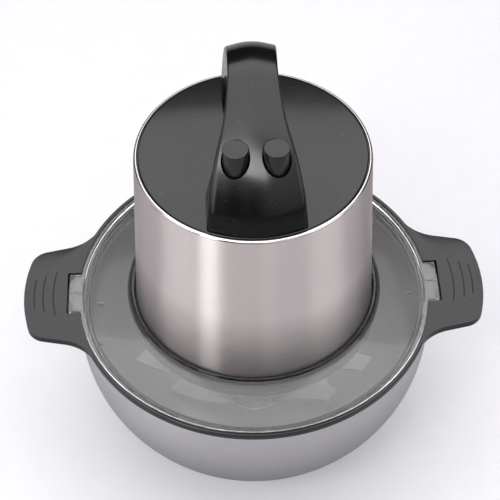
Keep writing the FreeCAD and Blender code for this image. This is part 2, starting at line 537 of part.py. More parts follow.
def arch(piece, name, cut, skin):
    """The arch's loft: sections across the grip, each a crowned rectangle, drawn in by a skin."""
    drawn = []
    for step, (out_y, out_z, in_y, in_z, half, crown, corner) in enumerate(finer(STATIONS)):
        section = piece.newObject("Sketcher::SketchObject", "%s_section_%d" % (name, step))
        section.AttachmentSupport = [(origin(piece, "XY_Plane"), "")]
        section.MapMode = "FlatFace"
        run = number(out_y) - number(in_y)
        climb = number(out_z) - number(in_z)
        lean = FreeCAD.Rotation(FreeCAD.Vector(1, 0, 0), math.degrees(math.atan2(climb, run)))
        section.AttachmentOffset = FreeCAD.Placement(FreeCAD.Vector(0, number(in_y), number(in_z)), lean)
        section.setExpression("AttachmentOffset.Base.y", bound(in_y))
        if step not in (0, 2 * len(STATIONS) - 2):
            section.setExpression("AttachmentOffset.Base.z", bound(in_z))
        deep = "(sqrt((%s-(%s))^2+(%s-(%s))^2)-%s)" % (out_y, in_y, out_z, in_z, skin)
        wide = "((%s)-%s)" % (half, skin)
        over = "((%s)-%s)" % (crown, skin)
        bend = "(%s-%s)" % (corner, skin) if number(corner) > 5.5 and cut else ("2" if cut else "(%s)" % corner)
        edge = "((%s-%s)/(1-%s/%s))" % (wide, bend, bend, over)
        level = "(%s-%s+sqrt(%s^2-%s^2))" % (deep, over, over, edge)
        fall = "(%s*sqrt(1-(%s/%s)^2))" % (bend, edge, over)
        soft = "(3.2-%s/2)" % skin
        low = skin
        outline(section, [
            (edge, level), ("-" + edge, level), ("-" + wide, level + "-" + fall), ("-" + wide, low + "+" + soft),
            ("-(%s-%s)" % (wide, soft), low), ("%s-%s" % (wide, soft), low), (wide, low + "+" + soft),
            (wide, level + "-" + fall)],
            {0: (over, 1), 1: (bend, 1), 3: (soft, 1), 5: (soft, 1), 7: (bend, 1)})
        drawn.append(section)
    loft = piece.newObject("PartDesign::" + ("SubtractiveLoft" if cut else "AdditiveLoft"), name)
    loft.Profile = drawn[0]
    loft.Sections = drawn[1:]
    loft.Ruled = True
    return loft


PARTING = [("-gap_front-8.5", "-1"), ("-gap_front-8.5", "17"), ("-gap_front-2", "gap_height*0.68"),
           ("-gap_front+11", "gap_height*0.94"), ("-3", "gap_height+6.4"), ("8", "gap_height+6.6"),
           ("gap_rear-21", "gap_height*0.98"), ("gap_rear-5", "gap_height*0.68"), ("gap_rear+4", "17"),
           ("gap_rear+7", "-1")]
PARTING_ARCS = {1: ("70", -1), 2: ("45", -1), 3: ("60", -1), 5: ("60", -1), 6: ("50", -1), 7: ("70", -1)}
handle_upper = body("handle_upper", z="plate_height")
arch(handle_upper, "upper_skin", False, "0")
arch(handle_upper, "upper_hollow", True, "grip_skin")
pocket(handle_upper, "upper_parting", outline(sketch(handle_upper, "upper_parting_line", "YZ_Plane"), PARTING, PARTING_ARCS),
       "4*foot_half", both=True)
pad(handle_upper, "leg_posts", circles(
    sketch(handle_upper, "leg_post_outline"), [(x, y, "3.9") for x, y in LEG_SCREWS]), "16")
pocket(handle_upper, "leg_post_holes", circles(
    sketch(handle_upper, "leg_post_hole_outline"), [(x, y, "1.5") for x, y in LEG_SCREWS]), "13", back=True)
pocket(handle_upper, "button_bores", circles(sketch(handle_upper, "button_bore_outline", height="button_top-24"), [
    ("button_side", "-button_back", "button_radius+0.95"), ("-button_side", "-button_back", "button_radius+0.95")]),
    "60", back=True)

handle_lower = body("handle_lower", z="plate_height")
arch(handle_lower, "lower_skin", False, "0")
arch(handle_lower, "lower_hollow", True, "grip_skin")
frame_sketch = sketch(handle_lower, "lower_parting_line", "YZ_Plane")
block(frame_sketch, "-grip_front-10", "-2", "grip_rear+10", "grip_height+20")
INNER = [("-gap_front-8.3", "-1"), ("-gap_front-8.3", "17"), ("-gap_front-1.9", "gap_height*0.68-0.1"),
         ("-gap_front+11.1", "gap_height*0.94-0.2"), ("-3", "gap_height+6.2"), ("8", "gap_height+6.4"),
         ("gap_rear-21.1", "gap_height*0.98-0.2"), ("gap_rear-5.1", "gap_height*0.68-0.2"), ("gap_rear+3.8", "17"),
         ("gap_rear+6.8", "-1")]
outline(frame_sketch, INNER, PARTING_ARCS)
pocket(handle_lower, "lower_parting", frame_sketch, "4*foot_half", both=True)

handle_screws = body("handle_screws", z="plate_height-2.8")
pad(handle_screws, "leg_screw_heads", circles(
    sketch(handle_screws, "leg_screw_head_outline"), [(x, y, "3.2") for x, y in LEG_SCREWS]), "2", back=True)
pad(handle_screws, "leg_screw_shanks", circles(
    sketch(handle_screws, "leg_screw_shank_outline"), [(x, y, "1.5") for x, y in LEG_SCREWS]), "14")

# Switches and push buttons

switch_board = body("switch_board", z="plate_height+board_height")
block_sketch = block(sketch(switch_board, "board_outline"), "-button_side-13.4",
                     "-button_back-15.8", "button_side+13.4", "-button_back+7.7")
pad(switch_board, "board", block_sketch, "board_thickness")
pad(switch_board, "board_tongue", block(
    sketch(switch_board, "board_tongue_outline"), "-button_side-7.9", "-button_back-20.3", "button_side+7.9",
    "-button_back-15.3"),
    "board_thickness")
pocket(switch_board, "board_corners", circles(
    sketch(switch_board, "board_corner_outline"), [(x, y, "4.3") for x, y in LEG_SCREWS[:2]]), "3", back=True)

power_switches = body("power_switches", z="plate_height+board_height+board_thickness")
switch_sketch = sketch(power_switches, "switch_outline")
block(switch_sketch, "button_side-6", "-button_back-7", "button_side+6", "-button_back+7")
block(switch_sketch, "-button_side-6", "-button_back-7", "-button_side+6", "-button_back+7")
pad(power_switches, "switches", switch_sketch, "switch_height")

SPRING_FOOT = "plate_height+board_height+board_thickness+switch_height"
for side, sign in (("left", "-"), ("right", "")):
    button = body(side + "_button", x=sign + "button_side", y="-button_back",
                  z="plate_height+button_top-button_length")
    turn(button, "button_body", [
        ("0", "-stem_length"), ("2.9", "-stem_length"), ("2.9", "0"), ("button_radius", "0"),
        ("button_radius", "button_length-1.2"), ("button_radius-1.2", "button_length-0.2"),
        ("button_radius-2.4", "button_length"), ("0", "button_length")])
    spring = body(side + "_spring", x=sign + "button_side", y="-button_back", z=SPRING_FOOT)
    wire = circles(sketch(spring, "wire_outline", "XZ_Plane"), [("4.1", "0.5", "0.5")])
    coil = spring.newObject("PartDesign::AdditiveHelix", "coil")
    coil.Profile = wire
    coil.ReferenceAxis = (wire, ["V_Axis"])
    coil.Mode = "height-turns-angle"
    coil.Turns = 5
    coil.setExpression("Height", bound("spring_length-1"))

# Gearbox


def tooth(drawn, teeth, inner, outer, internal=False):
    """One tooth on the X axis with involute flanks, from radius inner to radius outer."""
    module = number("module")
    count = number(teeth)
    pitch = module * count / 2
    base = pitch * math.cos(math.radians(20))
    sign = -1 if internal else 1
    slack = 0.1 / pitch

    def spread(radius):
        lean = math.acos(min(base / max(radius, base), 1))
        roll = math.tan(lean) - lean
        level = math.tan(math.radians(20)) - math.radians(20)
        return math.pi / (2 * count) + sign * (level - roll) - slack

    radii = [inner + (outer - inner) * step / 3 for step in range(4)]
    right = [(r * math.cos(spread(r)), -r * math.sin(spread(r))) for r in radii]
    left = [(x, -y) for x, y in reversed(right)]
    at = [FreeCAD.Vector(x, y, 0) for x, y in right + left]
    for i in range(len(at)):
        drawn.addGeometry(Part.LineSegment(at[i], at[(i + 1) % len(at)]))
    for i in range(len(at)):
        drawn.addConstraint(Sketcher.Constraint("Coincident", i, 2, (i + 1) % len(at), 1))
        drawn.addConstraint(Sketcher.Constraint("Block", i))
    return drawn


ADDENDUM = 0.8
DEDENDUM = 1.15


def gear(name, teeth, bore, width, **where):
    """An external spur gear."""
    piece = body(name, **where)
    module = number("module")
    pitch = module * number(teeth) / 2
    root = "(%s*module/2-%s*module)" % (teeth, DEDENDUM)
    pad(piece, "gear_blank", circles(sketch(piece, "blank_outline"), [("0", "0", root), ("0", "0", bore)]), width)
    drawn = tooth(sketch(piece, "tooth_outline"), teeth, pitch - DEDENDUM * module - 0.3, pitch + ADDENDUM * module)
    one = pad(piece, "tooth", drawn, width)
    repeat(piece, "teeth", [one], int(number(teeth)))
    return piece


gearbox_base = body("gearbox_base", z="gearbox_height")
turn(gearbox_base, "gearbox_cup", [
    ("8", "-3.5"), ("13", "-3.5"), ("13", "0"), ("gearbox_radius", "0"), ("gearbox_radius", "21"),
    ("gearbox_radius-3", "21"), ("gearbox_radius-3", "8"), ("gearbox_radius-4.5", "8"), ("gearbox_radius-4.5", "3"), ("13", "3"), ("13", "5.5"), ("11", "5.5"), ("11", "-1.5"),
    ("8", "-1.5")])
pad(gearbox_base, "gearbox_lugs", circles(
    sketch(gearbox_base, "lug_outline"), ring_spots("gearbox_radius+2", "4.5", 4, 0)), "21")
pocket(gearbox_base, "base_screw_holes", circles(
    sketch(gearbox_base, "base_screw_hole_outline"), ring_spots(POST_PITCH, "1.9", 4, 45)), "5", back=True)
pocket(gearbox_base, "lug_holes", circles(
    sketch(gearbox_base, "lug_hole_outline", height="8"), ring_spots("gearbox_radius+2.5", "1.5", 4, 0)), "14", back=True)

output_bearing = body("output_bearing", z="gearbox_height-1.5")
turn(output_bearing, "output_race", [
    ("output_radius+running", "0"), ("7", "0"), ("7", "0.5"), ("9", "0.5"), ("9", "0"), ("11", "0"), ("11", "7"),
    ("9", "7"), ("9", "6.5"), ("7", "6.5"), ("7", "7"), ("output_radius+running", "7")])

ring_gear = body("ring_gear", z="gearbox_height+8")
ring_pitch = number("module*ring_teeth/2")
pad(ring_gear, "ring_blank", circles(sketch(ring_gear, "ring_outline"), [
    ("0", "0", "gearbox_radius-3"), ("0", "0", "ring_teeth*module/2+%s*module" % DEDENDUM)]), "13")
ring_tooth = pad(ring_gear, "ring_tooth", tooth(
    sketch(ring_gear, "ring_tooth_outline"), "ring_teeth", ring_pitch - ADDENDUM * number("module"),
    ring_pitch + DEDENDUM * number("module") + 0.3, True), "13")
repeat(ring_gear, "ring_gear_teeth", [ring_tooth], int(number("ring_teeth")))

gearbox_cover = body("gearbox_cover", z="gearbox_height+21")
turn(gearbox_cover, "cover_disc", [
    ("7.4", "0"), ("gearbox_radius", "0"), ("gearbox_radius", "3"), ("14", "3"), ("14", "11"), ("11", "11"),
    ("11", "3"), ("7.4", "3")])
pad(gearbox_cover, "cover_lugs", circles(
    sketch(gearbox_cover, "cover_lug_outline"), ring_spots("gearbox_radius+2", "4.5", 4, 0)), "3")
pad(gearbox_cover, "stator_pillars", circles(
    sketch(gearbox_cover, "pillar_outline"), ring_spots("stator_radius-3.6", "3.4", 4, 45)), "motor_height-gearbox_height-21")
pocket(gearbox_cover, "cover_holes", circles(
    sketch(gearbox_cover, "cover_hole_outline"), ring_spots("gearbox_radius+2.5", "1.7", 4, 0)), "4", back=True)

gearbox_screws = body("gearbox_screws", z="gearbox_height+24")
pad(gearbox_screws, "cover_screw_heads", circles(
    sketch(gearbox_screws, "cover_head_outline"), ring_spots("gearbox_radius+2.5", "2.8", 4, 0)), "2")
pad(gearbox_screws, "cover_screw_shanks", circles(
    sketch(gearbox_screws, "cover_shank_outline"), ring_spots("gearbox_radius+2.5", "1.5", 4, 0)), "14", back=True)

PINS = "((sun_teeth+planet_teeth)*module/2)"
planet_carrier = body("planet_carrier", z="gearbox_height+7")
turn(planet_carrier, "carrier_disc", [
    ("0", "-13.4"), ("output_radius", "-13.4"), ("output_radius", "-1.2"), ("6.5", "-1.2"), ("6.5", "0"),
    (PINS + "+6", "0"), (PINS + "+6", "3"), ("0", "3")])
pad(planet_carrier, "planet_pins", circles(
    sketch(planet_carrier, "pin_outline"), ring_spots(PINS, "3", 3, 0)), "4+face_width+1")

for index in range(3):
    turned = 120 * index
    gear("planet_gear_%d" % (index + 1), "planet_teeth", "3+running", "face_width",
         x=swing(PINS, turned, False), y=swing(PINS, turned, True), z="gearbox_height+11",
         turned=((0, 0, 1), turned + 180 / number("planet_teeth")))

drive_coupling = body("drive_coupling", z="gearbox_height-18.5")
pad(drive_coupling, "coupling_body", circles(sketch(drive_coupling, "coupling_outline"), [("0", "0", "13")]), "14.7")
SOCKET = "drive_flats/sqrt(3)"
pocket(drive_coupling, "socket", outline(sketch(drive_coupling, "socket_outline"), [
    (swing(SOCKET, a, False), swing(SOCKET, a, True)) for a in range(0, 360, 60)]), "11", back=True)
pocket(drive_coupling, "shaft_bore", circles(
    sketch(drive_coupling, "shaft_bore_outline"), [("0", "0", "output_radius")]), "20", back=True)

# Motor

SHAFT_END = "(motor_height+stator_length+21.2-gearbox_height)"
motor_shaft = body("motor_shaft", z="gearbox_height+10.8")
turn(motor_shaft, "shaft", [
    ("0", "0"), ("shaft_radius-1", "0"), ("shaft_radius-1", "11.8"), ("shaft_radius", "11.8"),
    ("shaft_radius", SHAFT_END + "-0.7"), ("shaft_radius-0.7", SHAFT_END), ("0", SHAFT_END)])

gear("sun_pinion", "sun_teeth", "shaft_radius-1", "face_width+1", z="gearbox_height+11")

cooling_fan = body("cooling_fan", z="motor_height-15")
turn(cooling_fan, "fan_disc", [
    ("shaft_radius", "0"), ("stator_radius-8.5", "0"), ("stator_radius-8.5", "1.5"), ("9", "1.5"), ("9", "10"), ("shaft_radius", "10")])
blade = pad(cooling_fan, "fan_blade", outline(sketch(cooling_fan, "fan_blade_outline"), [
    ("8.5", "-0.6"), ("stator_radius-9", "-4.6"), ("stator_radius-9", "-3.4"), ("8.5", "0.6")], {0: ("45", 1), 2: ("45", -1)}), "9")
repeat(cooling_fan, "fan_blades", [blade], 9)

rotor_core = body("rotor_core", z="motor_height+1")
pad(rotor_core, "rotor_stack", circles(sketch(rotor_core, "rotor_outline"), [
    ("0", "0", "rotor_radius"), ("0", "0", "shaft_radius")]), "stator_length-2")
slot = pocket(rotor_core, "rotor_slot", block(
    sketch(rotor_core, "rotor_slot_outline"), "rotor_radius-6", "-1.1", "rotor_radius+1", "1.1"), "stator_length", back=True)
repeat(rotor_core, "rotor_slots", [slot], 12)

rotor_winding = body("rotor_winding", z="motor_height+1")
turn(rotor_winding, "lower_winding", [
    ("6", "-4.5"), ("rotor_radius-5.5", "-4.5"), ("rotor_radius-3.5", "-2.5"), ("rotor_radius-3.5", "0"), ("6", "0")])
turn(rotor_winding, "upper_winding", [
    ("6", "stator_length-2"), ("rotor_radius-3.5", "stator_length-2"), ("rotor_radius-3.5", "stator_length+1"),
    ("rotor_radius-5.5", "stator_length+3.5"), ("6", "stator_length+3.5")])

commutator = body("commutator", z="motor_height+stator_length+6.5")
turn(commutator, "commutator_drum", [
    ("shaft_radius", "0"), ("12.4", "0"), ("12.4", "2"), ("11", "2"), ("11", "13.5"), ("shaft_radius", "13.5")])
cut = pocket(commutator, "segment_gap", block(
    sketch(commutator, "segment_gap_outline"), "10", "-0.3", "13", "0.3"), "14", back=True)
repeat(commutator, "segment_gaps", [cut], 12)


def sector(drawn, inner, outer, angle, flip):
    """A closed piece of a ring to each side of the X axis, or of its mirror image."""
    x_of = [("-" if flip else "") + "(%s)*%.6f" % (r, math.cos(math.radians(angle))) for r in (inner, outer)]
    y_of = ["(%s)*%.6f" % (r, math.sin(math.radians(angle))) for r in (inner, outer)]
    side = -1 if flip else 1
    return outline(drawn, [(x_of[1], "-" + y_of[1]), (x_of[1], y_of[1]), (x_of[0], y_of[0]), (x_of[0], "-" + y_of[0])],
                   {0: (outer, side), 2: (inner, -side)})


stator_core = body("stator_core", z="motor_height")
pad(stator_core, "stator_ring", circles(sketch(stator_core, "stator_outline"), [
    ("0", "0", "stator_radius"), ("0", "0", "stator_radius-8")]), "stator_length")
poles = sketch(stator_core, "pole_outline")
sector(poles, "rotor_radius+0.6", "stator_radius-6", 41, False)
sector(poles, "rotor_radius+0.6", "stator_radius-6", 41, True)
pad(stator_core, "stator_poles", poles, "stator_length")

field_coils = body("field_coils", z="motor_height-3.5")
coils = sketch(field_coils, "coil_outline")
sector(coils, "rotor_radius+2.4", "stator_radius-8.2", 58, False)
sector(coils, "rotor_radius+2.4", "stator_radius-8.2", 58, True)
pad(field_coils, "coil_block", coils, "stator_length+7")
windows = sketch(field_coils, "coil_window_outline", height="3")
sector(windows, "rotor_radius+0.5", "stator_radius-5", 41.5, False)
sector(windows, "rotor_radius+0.5", "stator_radius-5", 41.5, True)
pocket(field_coils, "coil_window", windows, "stator_length+1", back=True)

motor_bracket = body("motor_bracket", z="motor_height+stator_length")
turn(motor_bracket, "bracket_bell", [
    ("stator_radius-6", "0"), ("stator_radius-0.2", "0"), ("stator_radius-0.2", "3"), ("stator_radius-1.5", "3"),
    ("stator_radius-1.5", "24"),
    ("12.5", "24"), ("12.5", "31"), ("9.5", "31"), ("9.5", "24"), ("shaft_radius+0.8", "24"),
    ("shaft_radius+0.8", "21"), ("stator_radius-4", "21"), ("stator_radius-4", "3"), ("stator_radius-6", "3")])
pocket(motor_bracket, "bracket_windows", block(
    sketch(motor_bracket, "bracket_window_outline", "XZ_Plane"), "-17", "5", "17", "19"), "100", both=True)
pocket(motor_bracket, "brush_windows", block(
    sketch(motor_bracket, "brush_window_outline", "YZ_Plane"), "-4.2", "9", "4.2", "20"), "100", both=True)

brush_holders = body("brush_holders", z="motor_height+stator_length")
tubes = sketch(brush_holders, "holder_outline", "YZ_Plane")
block(tubes, "-4.2", "9", "4.2", "20")
block(tubes, "-3.1", "10.1", "3.1", "18.9")
pad(brush_holders, "holder_tubes", tubes, "2*stator_radius", both=True)
turn(brush_holders, "holder_gap", [("0", "5"), ("14", "5"), ("14", "22"), ("0", "22")], cut=True)

carbon_brushes = body("carbon_brushes", z="motor_height+stator_length")
pad(carbon_brushes, "brushes", block(
    sketch(carbon_brushes, "brush_outline", "YZ_Plane"), "-3", "10.2", "3", "18.8"), "2*stator_radius-12", both=True)
turn(carbon_brushes, "brush_gap", [("0", "5"), ("11+fit", "5"), ("11+fit", "22"), ("0", "22")], cut=True)

motor_bearings = body("motor_bearings", z="gearbox_height+24")
turn(motor_bearings, "lower_race", [
    ("shaft_radius+running", "0"), ("6", "0"), ("6", "0.5"), ("9", "0.5"), ("9", "0"), ("11", "0"), ("11", "7"),
    ("9", "7"), ("9", "6.5"), ("6", "6.5"), ("6", "7"), ("shaft_radius+running", "7")])
UPPER = "motor_height+stator_length-gearbox_height"
turn(motor_bearings, "upper_race", [
    ("shaft_radius+running", UPPER), ("9.5", UPPER), ("9.5", UPPER + "+6"), ("8.2", UPPER + "+6"),
    ("8.2", UPPER + "+5.5"), ("5.8", UPPER + "+5.5"), ("5.8", UPPER + "+6"), ("shaft_radius+running", UPPER + "+6")])

# Blade set on the spindle

BLADE_FOOT = "bowl_base+bowl_wall+3.8"
blade_hub = body("blade_hub", z=BLADE_FOOT)
TUBE = "(hub_height-(" + BLADE_FOOT + "))"
BORE_END = "(spindle_end+0.2-(" + BLADE_FOOT + "))"
turn(blade_hub, "hub_tube", [
    ("output_radius+running", "0"), ("16", "0"), ("16", "2.5"), ("hub_radius", "2.5"), ("hub_radius", TUBE + "-1"),
    ("hub_radius-1", TUBE), ("0", TUBE), ("0", BORE_END), ("output_radius+running", BORE_END)])
DRIVE = "(drive_flats-2*fit)/sqrt(3)"
pad(blade_hub, "drive_head", outline(sketch(blade_hub, "drive_head_outline", height=TUBE + "-0.5"), [
    (swing(DRIVE, a, False), swing(DRIVE, a, True)) for a in range(0, 360, 60)]), "10.8")


def knife(name, reach, level):
    """A two-armed curved blade."""
    piece = body(name, z=BLADE_FOOT + level)
    pad(piece, "blade_eye", circles(sketch(piece, "eye_outline"), [("0", "0", "15.5")]), "blade_thickness")
    arm = pad(piece, "blade_arm", outline(sketch(piece, "arm_outline"), [
        ("6", "11"), (reach, "-3"), (reach + "-9", "-14"), ("6", "-10")],
        {0: (reach + "*1.25", -1), 2: (reach + "*1.5", 1)}), "blade_thickness")
    repeat(piece, "two_arms", [arm], 2)
    pocket(piece, "eye_bore", circles(sketch(piece, "eye_bore_outline"), [("0", "0", "hub_radius")]), "5", back=True)
    return piece


knife("lower_blade", "lower_reach", "+2.5")
blade_spacer = body("blade_spacer", z=BLADE_FOOT + "+2.5+blade_thickness")
pad(blade_spacer, "spacer_tube", circles(sketch(blade_spacer, "spacer_outline"), [
    ("0", "0", "15"), ("0", "0", "hub_radius")]), "35")
knife("upper_blade", "upper_reach", "+37.5+blade_thickness")
blade_clamp = body("blade_clamp", z=BLADE_FOOT + "+37.5+2*blade_thickness")
turn(blade_clamp, "clamp_ring", [
    ("hub_radius", "0"), ("16", "0"), ("16", "5"), ("14.5", "6.5"), ("hub_radius", "6.5")])

doc.recompute()
for item in doc.Objects:
    if "Invalid" in item.State or "Error" in item.State:
        raise RuntimeError("%s did not build" % item.Label)
for piece in pieces:
    if not piece.Shape.isValid() or not piece.Shape.Solids:
        raise RuntimeError("%s has no valid solid" % piece.Label)
for piece in pieces:
    piece.Shape.exportStep("parts/%s.step" % piece.Label)
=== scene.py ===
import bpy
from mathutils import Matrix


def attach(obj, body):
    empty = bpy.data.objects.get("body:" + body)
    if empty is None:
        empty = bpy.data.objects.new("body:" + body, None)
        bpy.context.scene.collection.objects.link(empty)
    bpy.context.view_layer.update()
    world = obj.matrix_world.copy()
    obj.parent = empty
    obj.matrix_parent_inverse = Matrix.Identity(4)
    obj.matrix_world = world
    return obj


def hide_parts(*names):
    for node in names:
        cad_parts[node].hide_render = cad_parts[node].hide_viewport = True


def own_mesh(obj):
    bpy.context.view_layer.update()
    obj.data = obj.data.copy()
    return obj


bl_info = {
    "name": "Yam pounder",
    "version": (1, 0, 0),
    "blender": (4, 5, 0),
    "location": "3D View > Sidebar > Pounder",
    "description": "Dresses the yam pounder's solids and lights them on a pale floor",
    "category": "Object",
}

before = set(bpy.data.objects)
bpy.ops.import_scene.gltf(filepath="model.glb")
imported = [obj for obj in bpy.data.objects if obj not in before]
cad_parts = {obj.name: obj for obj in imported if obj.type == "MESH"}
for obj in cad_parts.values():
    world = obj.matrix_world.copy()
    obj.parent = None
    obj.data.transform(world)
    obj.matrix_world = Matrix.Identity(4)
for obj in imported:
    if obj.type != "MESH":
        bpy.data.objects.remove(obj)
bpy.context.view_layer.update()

import math

import bmesh
import bpy
from mathutils import Matrix, Vector

MM = 0.001

# Heights above the table, in millimetres
RIM = 140.0
PLATE = 272.0


# Shapes, drawn in millimetres

MERGE = 0.0005
TINY = 0.01
AXIS = 0.02


def everything(bm):
    """All that a bmesh holds."""
    return list(bm.verts) + list(bm.edges) + list(bm.faces)


def verts_of(geom):
    """The vertices among what an operator gives back."""
    return [part for part in geom if isinstance(part, bmesh.types.BMVert)]


def spun(bm, angle, steps, centre=(0, 0, 0), climb=0.0, merge=False):
    """All lines and points swept about an upright axis, climbing by the same amount at each step."""
    bmesh.ops.spin(bm, geom=list(bm.verts) + list(bm.edges), cent=centre, axis=(0, 0, 1), dvec=(0, 0, climb),
                   angle=angle, steps=steps, use_merge=merge)


def turned(points, rounded=(), steps=160, level=0.0):
    """A closed profile of radius and height turned about the upright axis.

    rounded gives pairs of a corner and its radius.
    """
    bm = bmesh.new()
    corners = [bm.verts.new((radius, 0, level + height)) for radius, height in points]
    for a, b in zip(corners, corners[1:] + corners[:1]):
        bm.edges.new((a, b))
    for index, size in rounded:
        bmesh.ops.bevel(bm, geom=[corners[index]], offset=size, offset_type="OFFSET", segments=4, profile=0.5,
                        affect="VERTICES", material=-1)
    spun(bm, 2 * math.pi, steps, merge=True)
    return tidied(bm)


def tidied(bm):
    """Doubles merged and faces turned outwards."""
    bmesh.ops.remove_doubles(bm, verts=bm.verts, dist=MERGE)
    bmesh.ops.recalc_face_normals(bm, faces=bm.faces)
    return bm


def capped(bm):
    """A swept shape with its open ends closed."""
    bmesh.ops.holes_fill(bm, edges=[e for e in bm.edges if e.is_boundary])
    return tidied(bm)


PLANES = {
    "XY": Matrix.Identity(4),
    "XZ": Matrix(((1, 0, 0, 0), (0, 0, 1, 0), (0, 1, 0, 0), (0, 0, 0, 1))),
    "YZ": Matrix(((0, 0, 1, 0), (1, 0, 0, 0), (0, 1, 0, 0), (0, 0, 0, 1))),
}


def slab(points, low, high, plane="XY", arcs=None, steps=10):
    """An outline filled and given thickness.

    arcs names the spans that are arcs, each with its radius and the side that its centre is on.
    """
    bm = bmesh.new()
    arcs = arcs or {}
    at = [Vector((a, b, 0)) for a, b in points]
    for index, start in enumerate(at):
        end = at[(index + 1) % len(at)]
        first = bm.verts.new(start)
        if index not in arcs:
            bm.edges.new((first, bm.verts.new(end)))
            continue
        radius, side = arcs[index]
        along = end - start
        aside = Vector((-along.y, along.x, 0)).normalized() * side
        centre = (start + end) / 2 + aside * math.sqrt(radius ** 2 - along.length ** 2 / 4)
        sweep = 2 * math.asin(along.length / 2 / radius) * side
        bmesh.ops.spin(bm, geom=[first], cent=centre, axis=(0, 0, 1), dvec=(0, 0, 0), angle=sweep,
                       steps=steps)
    bmesh.ops.remove_doubles(bm, verts=bm.verts, dist=MERGE)
    bmesh.ops.contextual_create(bm, geom=list(bm.edges))
    raised = bmesh.ops.extrude_face_region(bm, geom=list(bm.faces))["geom"]
    bmesh.ops.translate(bm, vec=(0, 0, low), verts=bm.verts)
    bmesh.ops.translate(bm, vec=(0, 0, high - low), verts=verts_of(raised))
    bmesh.ops.transform(bm, matrix=PLANES[plane], verts=bm.verts)
    return tidied(bm)


def box(low, high):
    """A block between two corners."""
    left, front, bottom = low
    right, back, top = high
    return slab([(left, front), (right, front), (right, back), (left, back)], bottom, top)


def rod(x, y, low, high, radius, steps=48):
    """An upright cylinder."""
    bm = bmesh.new()
    bmesh.ops.create_cone(bm, cap_ends=True, segments=steps, radius1=radius, radius2=radius, depth=high - low,
                          matrix=Matrix.Translation((x, y, (low + high) / 2)))
    return bm


SHARP = math.radians(25)


def softened(bm, size, segments, wanted):
    """The sharp edges that wanted picks, bevelled round."""
    picked = [e for e in bm.edges if wanted(e) and e.calc_face_angle(0) > SHARP]
    bmesh.ops.bevel(bm, geom=picked, offset=size, offset_type="OFFSET", segments=segments, profile=0.5,
                    affect="EDGES", material=-1, clamp_overlap=True)
    return bm


def mirrored(bm):
    """The shape and its copy on the other side of the middle plane."""
    copies = bmesh.ops.duplicate(bm, geom=everything(bm))["geom"]
    bmesh.ops.scale(bm, vec=(-1, 1, 1), verts=verts_of(copies))
    bmesh.ops.recalc_face_normals(bm, faces=bm.faces)
    return bm


def together(*shapes):
    """Separate shapes as one bmesh."""
    bm = bmesh.new()
    for shape in shapes:
        mesh = bpy.data.meshes.new("shape")
        shape.to_mesh(mesh)
        bm.from_mesh(mesh)
        bpy.data.meshes.remove(mesh)
        shape.free()
    return bm


def linked(name, bm):
    """An object in the scene made from a bmesh, which is then freed."""
    mesh = bpy.data.meshes.new(name)
    bm.to_mesh(mesh)
    bm.free()
    made = bpy.data.objects.new(name, mesh)
    bpy.context.scene.collection.objects.link(made)
    return made


def settled(holder, *others):
    """The holder's mesh with its modifiers worked in; the throw-away objects are then removed."""
    result = bmesh.new()
    result.from_object(holder, bpy.context.evaluated_depsgraph_get())
    for used in (holder,) + others:
        mesh = used.data
        bpy.data.objects.remove(used)
        bpy.data.meshes.remove(mesh)
    return result


def joined(bm, other, operation):
    """Two closed shapes united, or the first cut by the second, or what they share."""
    target = linked("shape", bm)
    tool = linked("shape", other)
    worked = target.modifiers.new("join", "BOOLEAN")
    worked.operation = operation
    worked.solver = "EXACT"
    worked.object = tool
    result = settled(target, tool)
    if not result.faces:
        raise RuntimeError("a joined shape came out empty")
    return result


def subdivided(bm, levels):
    """The shape after a Subdivision Surface."""
    target = linked("shape", bm)
    smooth = target.modifiers.new("smooth", "SUBSURF")
    smooth.levels = levels
    smooth.render_levels = levels
    return settled(target)


def piece(name, bm, material, body, stands_for=(), bevel=0.0, angle=35):
    """The finished shape as an object that rides on a body and stands for CAD nodes."""
    bmesh.ops.scale(bm, vec=(MM, MM, MM), verts=bm.verts)
    made = linked(name, bm)
    mesh = made.data
    mesh.polygons.foreach_set("use_smooth", [True] * len(mesh.polygons))
    mesh.materials.append(material)
    if bevel:
        edge = made.modifiers.new("edges", "BEVEL")
        edge.width = bevel * MM
        edge.segments = 3
        edge.limit_method = "ANGLE"
        edge.angle_limit = math.radians(angle)
        edge.harden_normals = True
        edge.use_clamp_overlap = True
    else:
        mesh.set_sharp_from_angle(angle=math.radians(angle))
    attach(made, body)
    if stands_for:
        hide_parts(*stands_for)
    return made


# Shader groups and materials

def group(name, inputs, outputs):
    """A new shader node group with float or vector inputs and float outputs, and its in and out nodes."""
    tree = bpy.data.node_groups.new(name, "ShaderNodeTree")
    for label, kind, value in inputs:
        socket = tree.interface.new_socket(label, in_out="INPUT", socket_type=kind)
        socket.default_value = value
    for label in outputs:
        tree.interface.new_socket(label, in_out="OUTPUT", socket_type="NodeSocketFloat")
    return tree, tree.nodes.new("NodeGroupInput"), tree.nodes.new("NodeGroupOutput")


def math_node(tree, operation, first, second=0.0):
    """A Math node whose inputs are sockets or numbers."""
    node = tree.nodes.new("ShaderNodeMath")
    node.operation = operation
    for index, value in enumerate((first, second)):
        if isinstance(value, bpy.types.NodeSocket):
            tree.links.new(value, node.inputs[index])
        else:
            node.inputs[index].default_value = value
    return node.outputs[0]


def noise(tree, vector, scale, detail=3.0, roughness=0.5):
    """A noise texture's value."""
    node = tree.nodes.new("ShaderNodeTexNoise")
    node.inputs["Detail"].default_value = detail
    node.inputs["Roughness"].default_value = roughness
    if isinstance(scale, bpy.types.NodeSocket):
        tree.links.new(scale, node.inputs["Scale"])
    else:
        node.inputs["Scale"].default_value = scale
    tree.links.new(vector, node.inputs["Vector"])
    return node.outputs[0]


def axes(tree, vector):
    """The three parts of a vector."""
    parts = tree.nodes.new("ShaderNodeSeparateXYZ")
    tree.links.new(vector, parts.inputs[0])
    return parts.outputs


